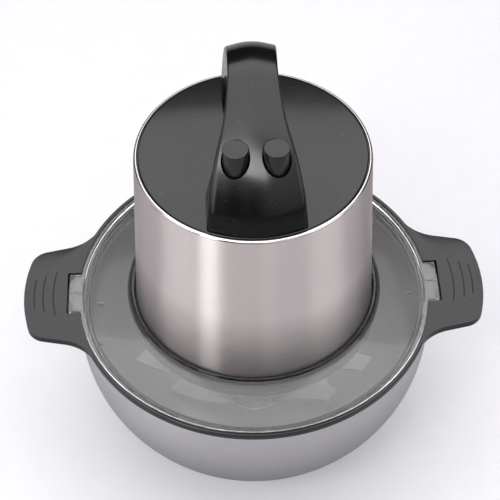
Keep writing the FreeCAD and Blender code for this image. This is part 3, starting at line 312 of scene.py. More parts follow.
def across(tree, vector):
    """Distance from the upright axis."""
    flat = tree.nodes.new("ShaderNodeVectorMath")
    flat.operation = "MULTIPLY"
    flat.inputs[1].default_value = (1, 1, 0)
    tree.links.new(vector, flat.inputs[0])
    reach = tree.nodes.new("ShaderNodeVectorMath")
    reach.operation = "LENGTH"
    tree.links.new(flat.outputs[0], reach.inputs[0])
    return reach.outputs["Value"]


def path(tree, label):
    """One for rays of the kind named, nought for others."""
    return tree.nodes.new("ShaderNodeLightPath").outputs[label]


def seen(tree):
    """One for rays that come from the camera, straight or through the clear lid."""
    return math_node(tree, "MAXIMUM", path(tree, "Is Camera Ray"), path(tree, "Is Transmission Ray"))


def spread(tree, value, low, high, out_low, out_high):
    """A value mapped from one range to another, held inside it."""
    node = tree.nodes.new("ShaderNodeMapRange")
    tree.links.new(value, node.inputs["Value"])
    for label, number in (("From Min", low), ("From Max", high), ("To Min", out_low), ("To Max", out_high)):
        if isinstance(number, bpy.types.NodeSocket):
            tree.links.new(number, node.inputs[label])
        else:
            node.inputs[label].default_value = number
    return node.outputs["Result"]


def moulded_group():
    """Moulded plastic: a fine grain for height, and soft wipe marks for roughness."""
    tree, start, end = group("moulded_plastic", [
        ("Vector", "NodeSocketVector", (0.0, 0.0, 0.0)), ("Grain", "NodeSocketFloat", 900.0),
        ("Smooth", "NodeSocketFloat", 0.2), ("Dull", "NodeSocketFloat", 0.3)],
        ["Roughness", "Height", "Dust"])
    vector = start.outputs["Vector"]
    grain = noise(tree, vector, start.outputs["Grain"], 2.0, 0.6)
    marks = noise(tree, vector, 28.0, 4.0, 0.55)
    wiped = spread(tree, marks, 0.35, 0.68, start.outputs["Smooth"], start.outputs["Dull"])
    tree.links.new(wiped, end.inputs["Roughness"])
    tree.links.new(grain, end.inputs["Height"])
    specks = noise(tree, vector, 520.0, 1.0, 0.4)
    tree.links.new(spread(tree, specks, 0.70, 0.80, 0.0, 1.0), end.inputs["Dust"])
    return tree


def brushed_group():
    """Metal brushed round the upright axis: fine lines for height, tone and roughness."""
    tree, start, end = group("brushed_round", [
        ("Vector", "NodeSocketVector", (0.0, 0.0, 0.0)), ("Lines", "NodeSocketFloat", 2600.0),
        ("Length", "NodeSocketFloat", 9.0), ("Smooth", "NodeSocketFloat", 0.2),
        ("Dull", "NodeSocketFloat", 0.36)],
        ["Roughness", "Height", "Tone"])
    x, y, z = axes(tree, start.outputs["Vector"])
    radius = math_node(tree, "MAXIMUM", across(tree, start.outputs["Vector"]), MM)
    place = tree.nodes.new("ShaderNodeCombineXYZ")
    for index, side in enumerate((x, y)):
        along = math_node(tree, "DIVIDE", side, radius)
        tree.links.new(math_node(tree, "MULTIPLY", along, start.outputs["Length"]), place.inputs[index])
    climb = math_node(tree, "SUBTRACT", z, radius)
    tree.links.new(math_node(tree, "MULTIPLY", climb, start.outputs["Lines"]), place.inputs[2])
    lines = noise(tree, place.outputs[0], 1.0, 3.0, 0.6)
    smears = noise(tree, start.outputs["Vector"], 16.0, 4.0, 0.6)
    tree.links.new(lines, end.inputs["Height"])
    tree.links.new(lines, end.inputs["Tone"])
    mixed = math_node(tree, "ADD", math_node(tree, "MULTIPLY", lines, 0.6),
                      math_node(tree, "MULTIPLY", smears, 0.4))
    tree.links.new(spread(tree, mixed, 0.35, 0.65, start.outputs["Smooth"], start.outputs["Dull"]),
                   end.inputs["Roughness"])
    return tree


class Paint:
    """One material with its Principled shader and Object coordinates."""

    def __init__(self, name, colour, **constant):
        self.material = bpy.data.materials.new(name)
        self.material.use_nodes = True
        self.tree = self.material.node_tree
        self.tree.nodes.clear()
        out = self.tree.nodes.new("ShaderNodeOutputMaterial")
        self.shader = self.tree.nodes.new("ShaderNodeBsdfPrincipled")
        self.tree.links.new(self.shader.outputs["BSDF"], out.inputs["Surface"])
        self.place = self.tree.nodes.new("ShaderNodeTexCoord").outputs["Object"]
        self.shader.inputs["Base Color"].default_value = tuple(colour[:3]) + (1.0,)
        for label, value in constant.items():
            self.shader.inputs[label.replace("_", " ")].default_value = value

    def effect(self, shared, **values):
        """Places a shared group and returns its outputs."""
        node = self.tree.nodes.new("ShaderNodeGroup")
        node.node_tree = bpy.data.node_groups[shared]
        self.tree.links.new(self.place, node.inputs["Vector"])
        for label, value in values.items():
            node.inputs[label].default_value = value
        return node.outputs

    def height(self):
        """Height above the table."""
        return axes(self.tree, self.place)[2]

    def bump(self, height, strength, distance):
        """Fine relief from a height value."""
        node = self.tree.nodes.new("ShaderNodeBump")
        node.inputs["Strength"].default_value = strength
        node.inputs["Distance"].default_value = distance
        self.tree.links.new(height, node.inputs["Height"])
        self.tree.links.new(node.outputs["Normal"], self.shader.inputs["Normal"])

    def link(self, socket, label):
        """Feeds one of the shader's inputs."""
        self.tree.links.new(socket, self.shader.inputs[label])

    def toned(self, mask, dark, light):
        """Base colour that runs from dark to light with a mask."""
        ramp = self.tree.nodes.new("ShaderNodeMix")
        ramp.data_type = "RGBA"
        self.tree.links.new(mask, ramp.inputs["Factor"])
        ramp.inputs["A"].default_value = tuple(dark) + (1.0,)
        ramp.inputs["B"].default_value = tuple(light) + (1.0,)
        self.tree.links.new(ramp.outputs["Result"], self.shader.inputs["Base Color"])


def scaled(colour, share):
    """A colour made darker or lighter."""
    return tuple(min(channel * share, 1.0) for channel in colour[:3])


# Heights and radii in metres at which a material changes: painted shade at the feet of the handle, sleeve and
# bowl and round the lid's collar, and the polish of the sleeve's rim
HANDLE_PAINTED_SHADE = (0.287, 0.309)
SLEEVE_PAINTED_SHADE = (0.146, 0.202)
BOWL_PAINTED_SHADE = (0.06, 0.132)
RIM_POLISH = (0.2698, 0.2704)
COLLAR_PAINTED_SHADE_IN = (0.0808, 0.0812)
COLLAR_PAINTED_SHADE_OUT = (0.086, 0.087)

# Roughness of the smoothest and the dullest spots, as shares of a material's own
SMOOTHEST = 0.8
DULLEST = 1.3
POLISHED = 0.16


def plastic(name, colour, smooth, dull, bump=0.02, grain=900.0, foot=None):
    """Moulded plastic; foot gives the heights between which its shine rises from faint to full, which paints
    shade into the reflections below those heights.
    """
    made = Paint(name, colour, Specular_IOR_Level=0.5)
    if foot:
        # Painted shade: the shine is dimmed towards the bottom of the foot heights.
        made.link(spread(made.tree, made.height(), *foot, 0.12, 0.5), "Specular IOR Level")
    out = made.effect("moulded_plastic", Smooth=smooth, Dull=dull, Grain=grain)
    made.link(out["Roughness"], "Roughness")
    made.toned(out["Dust"], colour[:3], tuple(c + 0.03 for c in colour[:3]))
    made.bump(out["Height"], bump, 0.0002)
    return made.material


def steel(name, colour, smooth, dull, bump, lines=2600.0, length=9.0, streak=0.85, foot=None, shade=0.22):
    """Brushed steel; foot gives the heights between which its colour rises from a painted shade, the shade
    share of the colour, to the full one.
    """
    made = Paint(name, colour, Metallic=1.0, Anisotropic=streak, Anisotropic_Rotation=0.25)
    tangent = made.tree.nodes.new("ShaderNodeTangent")
    tangent.direction_type = "RADIAL"
    tangent.axis = "Z"
    made.link(tangent.outputs["Tangent"], "Tangent")
    out = made.effect("brushed_round", Smooth=smooth, Dull=dull, Lines=lines, Length=length)
    if foot:
        made.link(spread(made.tree, made.height(), *RIM_POLISH, out["Roughness"], POLISHED), "Roughness")
        # Painted shade: the colour darkens below the foot heights, mixed with the brushed lines' own tone.
        painted_shade_fade = spread(made.tree, made.height(), *foot, 0.0, 0.85)
        tone = math_node(made.tree, "MULTIPLY", out["Tone"], 0.3)
        made.toned(math_node(made.tree, "ADD", painted_shade_fade, tone), scaled(colour, shade), colour)
    else:
        made.link(out["Roughness"], "Roughness")
        made.toned(out["Tone"], scaled(colour, 0.86), scaled(colour, 1.1))
    made.bump(out["Height"], bump, 0.0001)
    return made.material


def clear(name, colour, haze):
    """Clear plastic with painted shade: its colour is painted dark in a band where the collar's walls stand
    edge on.
    """
    made = Paint(name, colour, Transmission_Weight=0.93, IOR=1.5)
    out = made.effect("moulded_plastic", Smooth=haze * SMOOTHEST, Dull=haze * DULLEST, Grain=400.0)
    made.link(out["Roughness"], "Roughness")
    # Painted shade: a dark band in the colour round the collar's walls, under the sleeve's foot.
    reach = across(made.tree, made.place)
    inside = spread(made.tree, reach, *COLLAR_PAINTED_SHADE_IN, 0.0, 1.0)
    outside = spread(made.tree, reach, *COLLAR_PAINTED_SHADE_OUT, 1.0, 0.0)
    made.toned(math_node(made.tree, "MULTIPLY", inside, outside), colour, scaled(colour, 0.2))
    made.bump(out["Height"], 0.01, 0.0002)
    return made.material


NODE_LOOKS = {
    "bowl_steel": ["bowl", "spindle", "spindle_nut", "spindle_washer"],
    "black_satin": ["base_ring", "ear_cover_left", "ear_cover_right", "head_base", "cord_gland",
                    "drive_coupling"],
    "soft_rubber": ["rubber_feet", "lid_seal"],
    "plain_steel": ["ear_screws", "base_screws", "handle_screws", "gearbox_screws", "left_spring",
                    "right_spring", "motor_shaft", "motor_bearings", "output_bearing", "planet_carrier",
                    "sun_pinion", "planet_gear_1", "planet_gear_2", "planet_gear_3"],
    "blade_steel": ["lower_blade", "upper_blade"],
    "gearbox_plastic": ["gearbox_base", "gearbox_cover", "ring_gear", "motor_bracket", "cooling_fan",
                        "blade_hub", "blade_spacer", "blade_clamp"],
    "stator_steel": ["stator_core", "rotor_core"],
    "copper": ["field_coils", "rotor_winding", "commutator"],
    "holder_brass": ["brush_holders"],
    "carbon": ["carbon_brushes"],
    "board_green": ["switch_board"],
    "switch_black": ["power_switches"],
}


class PounderLooks(bpy.types.PropertyGroup):
    """Colours and finishes."""
    plastic_colour: bpy.props.FloatVectorProperty(
        name="Plastic", description="Handle, ring, plate and buttons", subtype="COLOR", size=3,
        default=(0.006, 0.006, 0.0065), min=0, max=1)
    satin_colour: bpy.props.FloatVectorProperty(
        name="Satin plastic", description="Base of the head, foot ring and covers", subtype="COLOR", size=3,
        default=(0.01, 0.01, 0.011), min=0, max=1)
    sleeve_colour: bpy.props.FloatVectorProperty(
        name="Sleeve steel", description="Brushed sleeve round the motor", subtype="COLOR", size=3,
        default=(0.68, 0.622, 0.612), min=0, max=1)
    bowl_colour: bpy.props.FloatVectorProperty(
        name="Bowl steel", description="Bowl and spindle", subtype="COLOR", size=3,
        default=(0.66, 0.65, 0.665), min=0, max=1)
    lid_colour: bpy.props.FloatVectorProperty(
        name="Lid tint", description="Smoky clear plastic of the lid", subtype="COLOR", size=3,
        default=(0.83, 0.82, 0.815), min=0, max=1)
    floor_colour: bpy.props.FloatVectorProperty(
        name="Floor", description="Pale floor round the pounder", subtype="COLOR", size=3,
        default=(0.86, 0.85, 0.88), min=0, max=1)
    plastic_gloss: bpy.props.FloatProperty(
        name="Plastic roughness", description="Roughness of the black plastic", default=0.16, min=0, max=1,
        subtype="FACTOR")
    steel_gloss: bpy.props.FloatProperty(
        name="Steel roughness", description="Roughness of the brushed sleeve", default=0.4, min=0, max=1,
        subtype="FACTOR")
    lid_haze: bpy.props.FloatProperty(
        name="Lid haze", description="How far the lid blurs what is behind it", default=0.06, min=0, max=1,
        subtype="FACTOR")


class PounderSizes(bpy.types.PropertyGroup):
    """Sizes of the dressed pieces."""
    edge: bpy.props.FloatProperty(
        name="Moulded edge", description="Rounding of the black mouldings' edges", default=0.8 * MM, min=0,
        unit="LENGTH")
    grip_wall: bpy.props.FloatProperty(
        name="Grip wall", description="Wall of the handle's shells", default=2.4 * MM, min=0.5 * MM,
        unit="LENGTH")
    parting: bpy.props.FloatProperty(
        name="Parting line", description="Gap between the handle's two shells", default=0.25 * MM, min=0,
        unit="LENGTH")
    groove: bpy.props.FloatProperty(
        name="Ear grooves", description="Half the width of the grip grooves on the ears", default=0.4 * MM,
        min=0, unit="LENGTH")
    sleeve_rim: bpy.props.FloatProperty(
        name="Sleeve rim", description="Rounding of the sleeve's rolled rim", default=1.6 * MM, min=0,
        unit="LENGTH")
    plate_edge: bpy.props.FloatProperty(
        name="Plate edge", description="Rounding of the top plate's edge", default=0.8 * MM, min=0,
        unit="LENGTH")
    grip_edge: bpy.props.FloatProperty(
        name="Grip edge", description="Rounding of the grip's upper edges", default=2 * MM, min=0.5 * MM,
        unit="LENGTH")
    button_radius: bpy.props.FloatProperty(
        name="Button radius", description="Radius of a push button", default=7.75 * MM, min=1 * MM,
        unit="LENGTH")
    bore_gap: bpy.props.FloatProperty(
        name="Button gap", description="Gap between a button and its bore", default=0.95 * MM, min=0,
        unit="LENGTH")


def size_of(name):
    """A size in millimetres."""
    return getattr(bpy.context.scene.pounder_sizes, name) / MM


class POUNDER_OT_materials(bpy.types.Operator):
    """Make the materials and give the carried-over solids theirs"""
    bl_idname = "pounder.materials"
    bl_label = "Materials"

    def execute(self, context):
        looks = context.scene.pounder_looks
        for plain in list(bpy.data.materials):
            bpy.data.materials.remove(plain)
        moulded_group()
        brushed_group()
        gloss = looks.plastic_gloss
        brushed = looks.steel_gloss
        plastic("black_gloss", looks.plastic_colour, gloss * SMOOTHEST, gloss * DULLEST)
        # The handle's shine is dimmed near the plate, painted shade at its feet.
        plastic("handle_gloss", looks.plastic_colour, gloss * SMOOTHEST, gloss * DULLEST, foot=HANDLE_PAINTED_SHADE)
        plastic("plate_gloss", looks.plastic_colour, gloss * 0.7, gloss)
        plastic("black_satin", looks.satin_colour, 0.42, 0.55, 0.12, 1400.0)
        # The sleeve's colour is painted darker towards its foot, a painted reflection of the dark lid and
        # base.
        steel("sleeve_steel", looks.sleeve_colour, brushed * 0.85, brushed * 1.2, 0.1, streak=1.0,
              foot=SLEEVE_PAINTED_SHADE)
        # The bowl's colour is painted darker towards its foot, a painted reflection of the shaded floor
        # beside it.
        steel("bowl_steel", looks.bowl_colour, 0.42, 0.56, 0.05, 1500.0, streak=0.4, foot=BOWL_PAINTED_SHADE,
              shade=0.4)
        clear("clear_lid", looks.lid_colour, looks.lid_haze)
        plastic("soft_rubber", (0.05, 0.05, 0.055), 0.6, 0.8, 0.2, 1800.0)
        steel("plain_steel", (0.5, 0.5, 0.51), 0.22, 0.4, 0.04, 1200.0)
        steel("blade_steel", (0.23, 0.218, 0.205), 0.34, 0.5, 0.03, 900.0, streak=0.3)
        plastic("gearbox_plastic", (0.62, 0.61, 0.58), 0.4, 0.55, 0.1, 1200.0)
        steel("stator_steel", (0.28, 0.28, 0.29), 0.34, 0.55, 0.3, 4200.0, 0.5)
        steel("copper", (0.72, 0.32, 0.16), 0.25, 0.42, 0.25, 3800.0, 0.5)
        steel("holder_brass", (0.75, 0.58, 0.3), 0.2, 0.36, 0.05)
        plastic("carbon", (0.02, 0.02, 0.02), 0.5, 0.7, 0.2, 2400.0)
        plastic("board_green", (0.03, 0.12, 0.06), 0.3, 0.45, 0.05)
        plastic("switch_black", (0.015, 0.015, 0.015), 0.3, 0.45, 0.08)
        for slot, nodes in NODE_LOOKS.items():
            for node in nodes:
                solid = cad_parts[node]
                solid.data.materials.clear()
                solid.data.materials.append(bpy.data.materials[slot])
        return {"FINISHED"}


# The ring and its ears: radii, reach from the axis, and depths below the ring's top
RING_BORE = 117.6
RING_SEAT = 120.0
RING_OUTSIDE = 123.0
RING_DEPTH = 10.0
LEDGE = 120.4
LEDGE_DEPTH = 2.6
BOWL_EDGE = 121.8
BOWL_EDGE_DEPTH = 3.8
EAR_DEPTH = 4.6
BODY_DEPTH = 11.8
BODY_STRAIGHT = 126.0
HOLLOW_CEILING = 2.4
EAR = 158.0
BOW = 107.0
ROOT = 122.3
ROOT_ANGLE = math.radians(28)
SLOPE = 6.3 / 32.0
EAR_SIDE = ((EAR - 30, 41.2), (EAR - 15, 38), (EAR - 4, 29))
EAR_ARCS = {0: (30.8, -1), 2: (13.8, 1), 3: (BOW, 1), 4: (13.8, 1), 6: (30.8, -1), 7: (ROOT, -1)}
BODY_SIDE = ((117.1, 35.2), (128, 35.2), (142.1, 32.1), (148.3, 27))
BODY_ARCS = {2: (7.8, 1), 3: (BOW - 6, 1), 4: (7.8, 1), 7: (ROOT, -1)}
HOLLOW_SIDE = ((130.9, 32.8), (141.8, 29.7), (146.1, 26.2))
HOLLOW_ARCS = {1: (5.4, 1), 2: (98.6, 1), 3: (5.4, 1)}
NOTCH = ((116.5, 1), (128.5, 1), (128.5, -9), (123.6, -9), (123.6, -2.6), (116.5, -2.6))
NOTCH_HALF = 17.9
GROOVES = ((151, 13), (145, 16), (138, 19))
EAR_POST = (140, 22)


def both_sides(side):
    """Half an outline from root to tip, and its mirror image back to the root."""
    return [(x, -y) for x, y in side] + [(x, y) for x, y in reversed(side)]


class POUNDER_OT_ring(bpy.types.Operator):
    """Ring round the bowl's rim with its two hollow ears, lock notches and grip grooves"""
    bl_idname = "pounder.ring"
    bl_label = "Ring with ears"

    def execute(self, context):
        edge = size_of("edge")
        rim = turned([
            (RING_BORE, -RING_DEPTH), (RING_SEAT, -RING_DEPTH), (RING_SEAT, -BOWL_EDGE_DEPTH),
            (BOWL_EDGE, -BOWL_EDGE_DEPTH), (BOWL_EDGE, -EAR_DEPTH), (RING_OUTSIDE, -EAR_DEPTH),
            (RING_OUTSIDE, 0), (LEDGE, 0), (LEDGE, -LEDGE_DEPTH), (RING_BORE, -LEDGE_DEPTH)],
            [(6, edge), (7, 0.35), (5, 0.4), (0, 0.4)], 192, RIM)
        root = (ROOT * math.cos(ROOT_ANGLE), ROOT * math.sin(ROOT_ANGLE))
        ear = slab(both_sides((root,) + EAR_SIDE), RIM - EAR_DEPTH, RIM, "XY", EAR_ARCS, 14)
        softened(ear, edge, 4, lambda e: all(v.co.z > RIM - TINY for v in e.verts)
                 and max(v.co.x for v in e.verts) > 116
                 and all(v.co.xy.length > ROOT + 0.05 for v in e.verts))
        body = slab(both_sides(BODY_SIDE), RIM - BODY_DEPTH, RIM - 4, "XY", BODY_ARCS)
        start = (BODY_STRAIGHT, 0, RIM - BODY_DEPTH)
        cut = bmesh.ops.bisect_plane(body, geom=everything(body), plane_co=start, plane_no=(SLOPE, 0, -1),
                                     clear_outer=True)
        edges = [part for part in cut["geom_cut"] if isinstance(part, bmesh.types.BMEdge)]
        bmesh.ops.contextual_create(body, geom=edges)
        ear = joined(ear, tidied(body), "UNION")
        hollow = slab(both_sides(HOLLOW_SIDE), RIM - 16, RIM - HOLLOW_CEILING, "XY", HOLLOW_ARCS)
        notch = slab(NOTCH, -NOTCH_HALF, NOTCH_HALF, "XZ")
        bmesh.ops.translate(notch, vec=(0, 0, RIM), verts=notch.verts)
        ring = joined(rim, mirrored(ear), "UNION")
        ring = joined(ring, mirrored(hollow), "DIFFERENCE")
        ring = joined(ring, mirrored(notch), "DIFFERENCE")
        for reach, half in GROOVES:
            ring = joined(ring, mirrored(self.groove(reach, half)), "DIFFERENCE")
        reach, half = EAR_POST
        posts = [rod(side * reach, along * half, RIM - 7, RIM - 1.5, 3.6)
                 for side in (1, -1) for along in (1, -1)]
        ring = joined(ring, together(*posts), "UNION")
        piece("handle_ring_moulding", ring, bpy.data.materials["black_gloss"], "bowl_unit",
              ["handle_ring"], 0.3)
        return {"FINISHED"}

    def groove(self, reach, half):
        """A round-bottomed groove's shape, curved about the ear's bow."""
        width = size_of("groove")
        bow = reach - EAR + BOW
        bm = bmesh.new()
        upright = Matrix.Translation((reach, 0, RIM)) @ Matrix.Rotation(math.pi / 2, 4, "X")
        bmesh.ops.create_circle(bm, cap_ends=False, segments=14, radius=width, matrix=upright)
        sweep = 2 * math.asin(half / bow)
        bmesh.ops.rotate(bm, cent=(EAR - BOW, 0, 0), matrix=Matrix.Rotation(-sweep / 2, 3, "Z"),
                         verts=bm.verts)
        spun(bm, sweep, 24, (EAR - BOW, 0, 0))
        return capped(bm)


# The lid: radii and heights from the ring's top
COLLAR = 84.1
COLLAR_BORE = 81.8
COLLAR_TOP = 7.2
LID_HOLE = 24
RECESS = -8.6
RECESS_UNDER = -11
LID_EDGE = 120
LID_UNDER = -2.3
SKIRT = 115.6
SKIRT_INSIDE = 113.2
SKIRT_END = -12.5


class POUNDER_OT_lid(bpy.types.Operator):
    """Clear lid with its collar, skirt, lock tabs and ticks"""
    bl_idname = "pounder.lid"
    bl_label = "Lid"

    def execute(self, context):
        lid = turned([
            (LID_HOLE, RECESS_UNDER), (COLLAR, RECESS_UNDER), (COLLAR, 2.2), (SKIRT_INSIDE, -5.1),
            (SKIRT_INSIDE, SKIRT_END), (SKIRT, SKIRT_END), (SKIRT, -5.2), (117.3, -5.2), (117.3, LID_UNDER),
            (LID_EDGE, LID_UNDER), (LID_EDGE, 0), (117.8, 0), (117, -3), (116.2, -3.3), (COLLAR, 4.7),
            (COLLAR, COLLAR_TOP), (COLLAR_BORE, COLLAR_TOP), (COLLAR_BORE, RECESS), (LID_HOLE, RECESS)],
            [(10, 0.7), (11, 0.4), (15, 0.7), (16, 0.7), (14, 0.6), (4, 0.4), (5, 0.4)], 192, RIM)
        tab = softened(box((118.4, -16.5, RIM + LID_UNDER), (127.2, 16.5, RIM)), 0.6, 3,
                       lambda e: all(v.co.x > 127 or v.co.z > RIM - TINY for v in e.verts))
        hook = softened(box((124.2, -15, RIM - 8.4), (126.9, 15, RIM - 1)), 0.5, 2,
                        lambda e: all(v.co.z < RIM - 2 for v in e.verts))
        rib = softened(box((119, -0.6, RIM - 1), (126.5, 0.6, RIM + 0.6)), 0.3, 2,
                       lambda e: all(v.co.z > RIM for v in e.verts))
        ticks = together(box((103, -10.5, RIM - 3), (107.5, -9.5, RIM + 0.2)),
                         box((103, -43.5, RIM - 4), (107, -42.5, RIM - 1.8)))
        for added in (tab, hook, rib, ticks):
            lid = joined(lid, mirrored(added), "UNION")
        piece("lid_moulding", lid, bpy.data.materials["clear_lid"], "lid_unit", ["lid"], 0, 30)
        return {"FINISHED"}


# The arch from its front foot to its rear foot, with heights above the plate: outer y and z, inner y and z,
# half the width, sag of the outer edges, their softness, and how far the inner side is narrower
STATIONS = [
    (-71.9, 0, -33, 0, 30.5, 6.8, 4.0, 0),
    (-70.8, 14.5, -32.3, 14.1, 29.2, 5.8, 4.6, 1.8),
    (-61.4, 28.3, -28.5, 27.3, 27.5, 4.8, 4.8, 4.4),
    (-46.9, 42.3, -21.5, 37.1, 23.9, 3.4, 3.4, 4.8),
    (-30.4, 56.2, -13.5, 43.0, 18.6, 2.5, 2.4, 2.6),
    (-12.9, 68.4, -5, 46.3, 15.7, 2.0, 2.0, 0.8),
    (1, 72.0, 3, 46.8, 15, 2.0, 2.0, 0.6),
    (20, 69.0, 14.5, 44.7, 15.3, 2.2, 2.2, 0.6),
    (41, 55.6, 28, 36.5, 16, 2.6, 2.8, 0.6),
    (57.5, 32.4, 39, 22.1, 17.1, 3.4, 3.6, 0.4),
    (68, 0, 45, 0, 18.4, 4.4, 4.4, 0),
]
LOOP = 16
FLOOR_REACH = 0.8

# The parting line between the handle's shells, as y and z, with the spans that are arcs
PARTING = [(-41.5, -2), (-41.5, 17), (-35, 32), (-22, 44.2), (-3, 53.4), (8, 53.6), (24, 46.1), (40, 32),
           (49, 17), (52, -2)]
PARTING_ARCS = {1: (70, -1), 2: (45, -1), 3: (60, -1), 5: (60, -1), 6: (50, -1), 7: (70, -1)}

# Buttons and their springs
BUTTONS = (12.1, -46.2)
BUTTON_FOOT = 31.0
BUTTON_LENGTH = 19.0
STEM = (2.9, 9.0)
SPRING_FOOT = 290.0
SPRING_LENGTH = 13.0
WIRE = 0.5
COIL = 4.1
COIL_TURNS = 5
COIL_STEPS = 180

# Sleeve and plate
SLEEVE_START = 144.5
SLEEVE_LENGTH = 127.3
SLEEVE_BASE = 80.7
SLEEVE_TOP = 74.8
SLEEVE_WALL = 0.8
RIM_INSIDE = SLEEVE_TOP - 1.9
CORD_HOLE = 6.2
CORD_BELOW = 24
PLATE_EDGE = 72.1
FLANGE = PLATE_EDGE + 1.8
SKIN = 2.8
LEG_SCREWS = ((24, -54), (-24, -54), (11.6, 58), (-11.6, 58))
BOARD_POSTS = ((23, -42.5), (-23, -42.5), (17, -64), (-17, -64))


def between(rows):
    """The stations with one more between each two, on the smooth curve through the four nearest."""
    made = []
    last = len(rows) - 1
    for index in range(last):
        near, here, there, far = (rows[min(max(index + step, 0), last)] for step in (-1, 0, 1, 2))
        share = 0.0 if index in (0, last - 1) else 0.0625
        made.append(here)
        made.append(tuple((0.5 + share) * (b + c) - share * (a + d)
                          for a, b, c, d in zip(near, here, there, far)))
    return made + [rows[last]]


def tube(bm):
    """The arch's outer surface as loops of points bridged from foot to foot."""
    loops = []
    for out_y, out_z, in_y, in_z, half, sag, corner, tuck in between(STATIONS):
        run = Vector((0, out_y - in_y, out_z - in_z))
        deep = run.length
        up = run.normalized()
        foot = Vector((0, in_y, in_z))
        soft = corner * size_of("grip_edge") * 0.5
        inner = half - tuck
        side = [(inner - 3.8, 0), (inner, 0), (inner, 3.8), (half, deep - sag - soft), (half, deep - sag),
                (half - soft, deep - sag * (1 - soft / half)), (half * 0.45, deep - sag * 0.18)]
        section = [(0, 0)] + side + [(0, deep + 0.35)] + [(-x, d) for x, d in reversed(side)]
        ring = bmesh.ops.create_circle(bm, cap_ends=False, segments=LOOP, radius=1)["verts"]
        for vert, (x, d) in zip(ring, section):
            vert.co = foot + Vector((x, 0, 0)) + up * d
        loops.append([bm.edges.get((ring[i], ring[(i + 1) % LOOP])) for i in range(LOOP)])
    for first, second in zip(loops, loops[1:]):
        bmesh.ops.bridge_loops(bm, edges=first + second)


class POUNDER_OT_head(bpy.types.Operator):
    """Brushed sleeve with its rolled rim and cord hole, and the round-edged top plate"""
    bl_idname = "pounder.head"
    bl_label = "Sleeve and plate"

    def execute(self, context):
        rim = size_of("sleeve_rim")
        sleeve = turned([
            (SLEEVE_BASE, 0), (SLEEVE_TOP, SLEEVE_LENGTH), (RIM_INSIDE, SLEEVE_LENGTH), (RIM_INSIDE, 125.8),
            (SLEEVE_TOP - 1, 125.8), (SLEEVE_TOP - SLEEVE_WALL, 124.5), (SLEEVE_BASE - SLEEVE_WALL, 0)],
            [(2, 0.3), (1, rim)], 256, SLEEVE_START)
        cord = rod(0, 0, 60, 100, CORD_HOLE, 64)
        bmesh.ops.rotate(cord, cent=(0, 0, 0), matrix=Matrix.Rotation(-math.pi / 2, 3, "X"), verts=cord.verts)
        bmesh.ops.translate(cord, vec=(0, 0, PLATE - CORD_BELOW), verts=cord.verts)
        piece("sleeve_shell", joined(sleeve, cord, "DIFFERENCE"), bpy.data.materials["sleeve_steel"],
              "head_unit", ["steel_sleeve"], 0, 40)
        plate = turned([
            (AXIS, 0), (PLATE_EDGE, 0), (PLATE_EDGE, -1.9), (FLANGE, -1.9), (FLANGE, -14),
            (PLATE_EDGE - 0.4, -14), (PLATE_EDGE - 0.4, -SKIN), (AXIS, -SKIN)],
            [(1, size_of("plate_edge"))], 256, PLATE)
        screws = [rod(x, y, PLATE - 5, PLATE + 1, 1.7) for x, y in LEG_SCREWS]
        plate = joined(plate, together(rod(0, -52, PLATE - 5, PLATE + 1, 7), *screws), "DIFFERENCE")
        posts = [rod(x, y, PLATE - 0.1, PLATE + 6, 2.6) for x, y in BOARD_POSTS]
        piece("top_plate", joined(plate, together(*posts), "UNION"), bpy.data.materials["plate_gloss"],
              "head_unit", ["top_cap"], 0, 40)
        return {"FINISHED"}


class POUNDER_OT_handle(bpy.types.Operator):
    """Arched handle in two shells with the parting line and the button bores"""
    bl_idname = "pounder.handle"
    bl_label = "Handle"

    def execute(self, context):
        gap = size_of("parting")
        shells = []
        for half_gap in (-gap / 2, gap / 2):
            shell = self.shell()
            feet = (0, len(PARTING) - 1)
            line = [(y, z + half_gap * (i not in feet)) for i, (y, z) in enumerate(PARTING)]
            inner = slab(line, -40, 40, "YZ", PARTING_ARCS)
            shells.append(joined(shell, inner, "INTERSECT" if half_gap < 0 else "DIFFERENCE"))
        lower, upper = shells
        radius = size_of("button_radius") + size_of("bore_gap")
        bores = together(*[rod(side * BUTTONS[0], BUTTONS[1], 24, 80, radius, 64) for side in (1, -1)])
        upper = joined(upper, bores, "DIFFERENCE")
        posts = [rod(x, y, 0.1, 16, 3.9) for x, y in LEG_SCREWS]
        upper = together(upper, *posts)
        for name, shell in (("upper", upper), ("lower", lower)):
            bmesh.ops.translate(shell, vec=(0, 0, PLATE), verts=shell.verts)
            piece("handle_%s_shell" % name, shell, bpy.data.materials["handle_gloss"], "head_unit",
                  ["handle_" + name], 0.35, 40)
        return {"FINISHED"}

    def shell(self):
        """The arch's wall, open inside and at its feet."""
        bm = bmesh.new()
        tube(bm)
        skin = subdivided(tidied(bm), 2)
        target = linked("shape", skin)
        walled = target.modifiers.new("wall", "SOLIDIFY")
        walled.thickness = size_of("grip_wall")
        walled.offset = -1
        walled.use_even_offset = True
        shell = settled(target)
        for vert in shell.verts:
            if vert.co.z < FLOOR_REACH:
                vert.co.z = 0
        return tidied(shell)


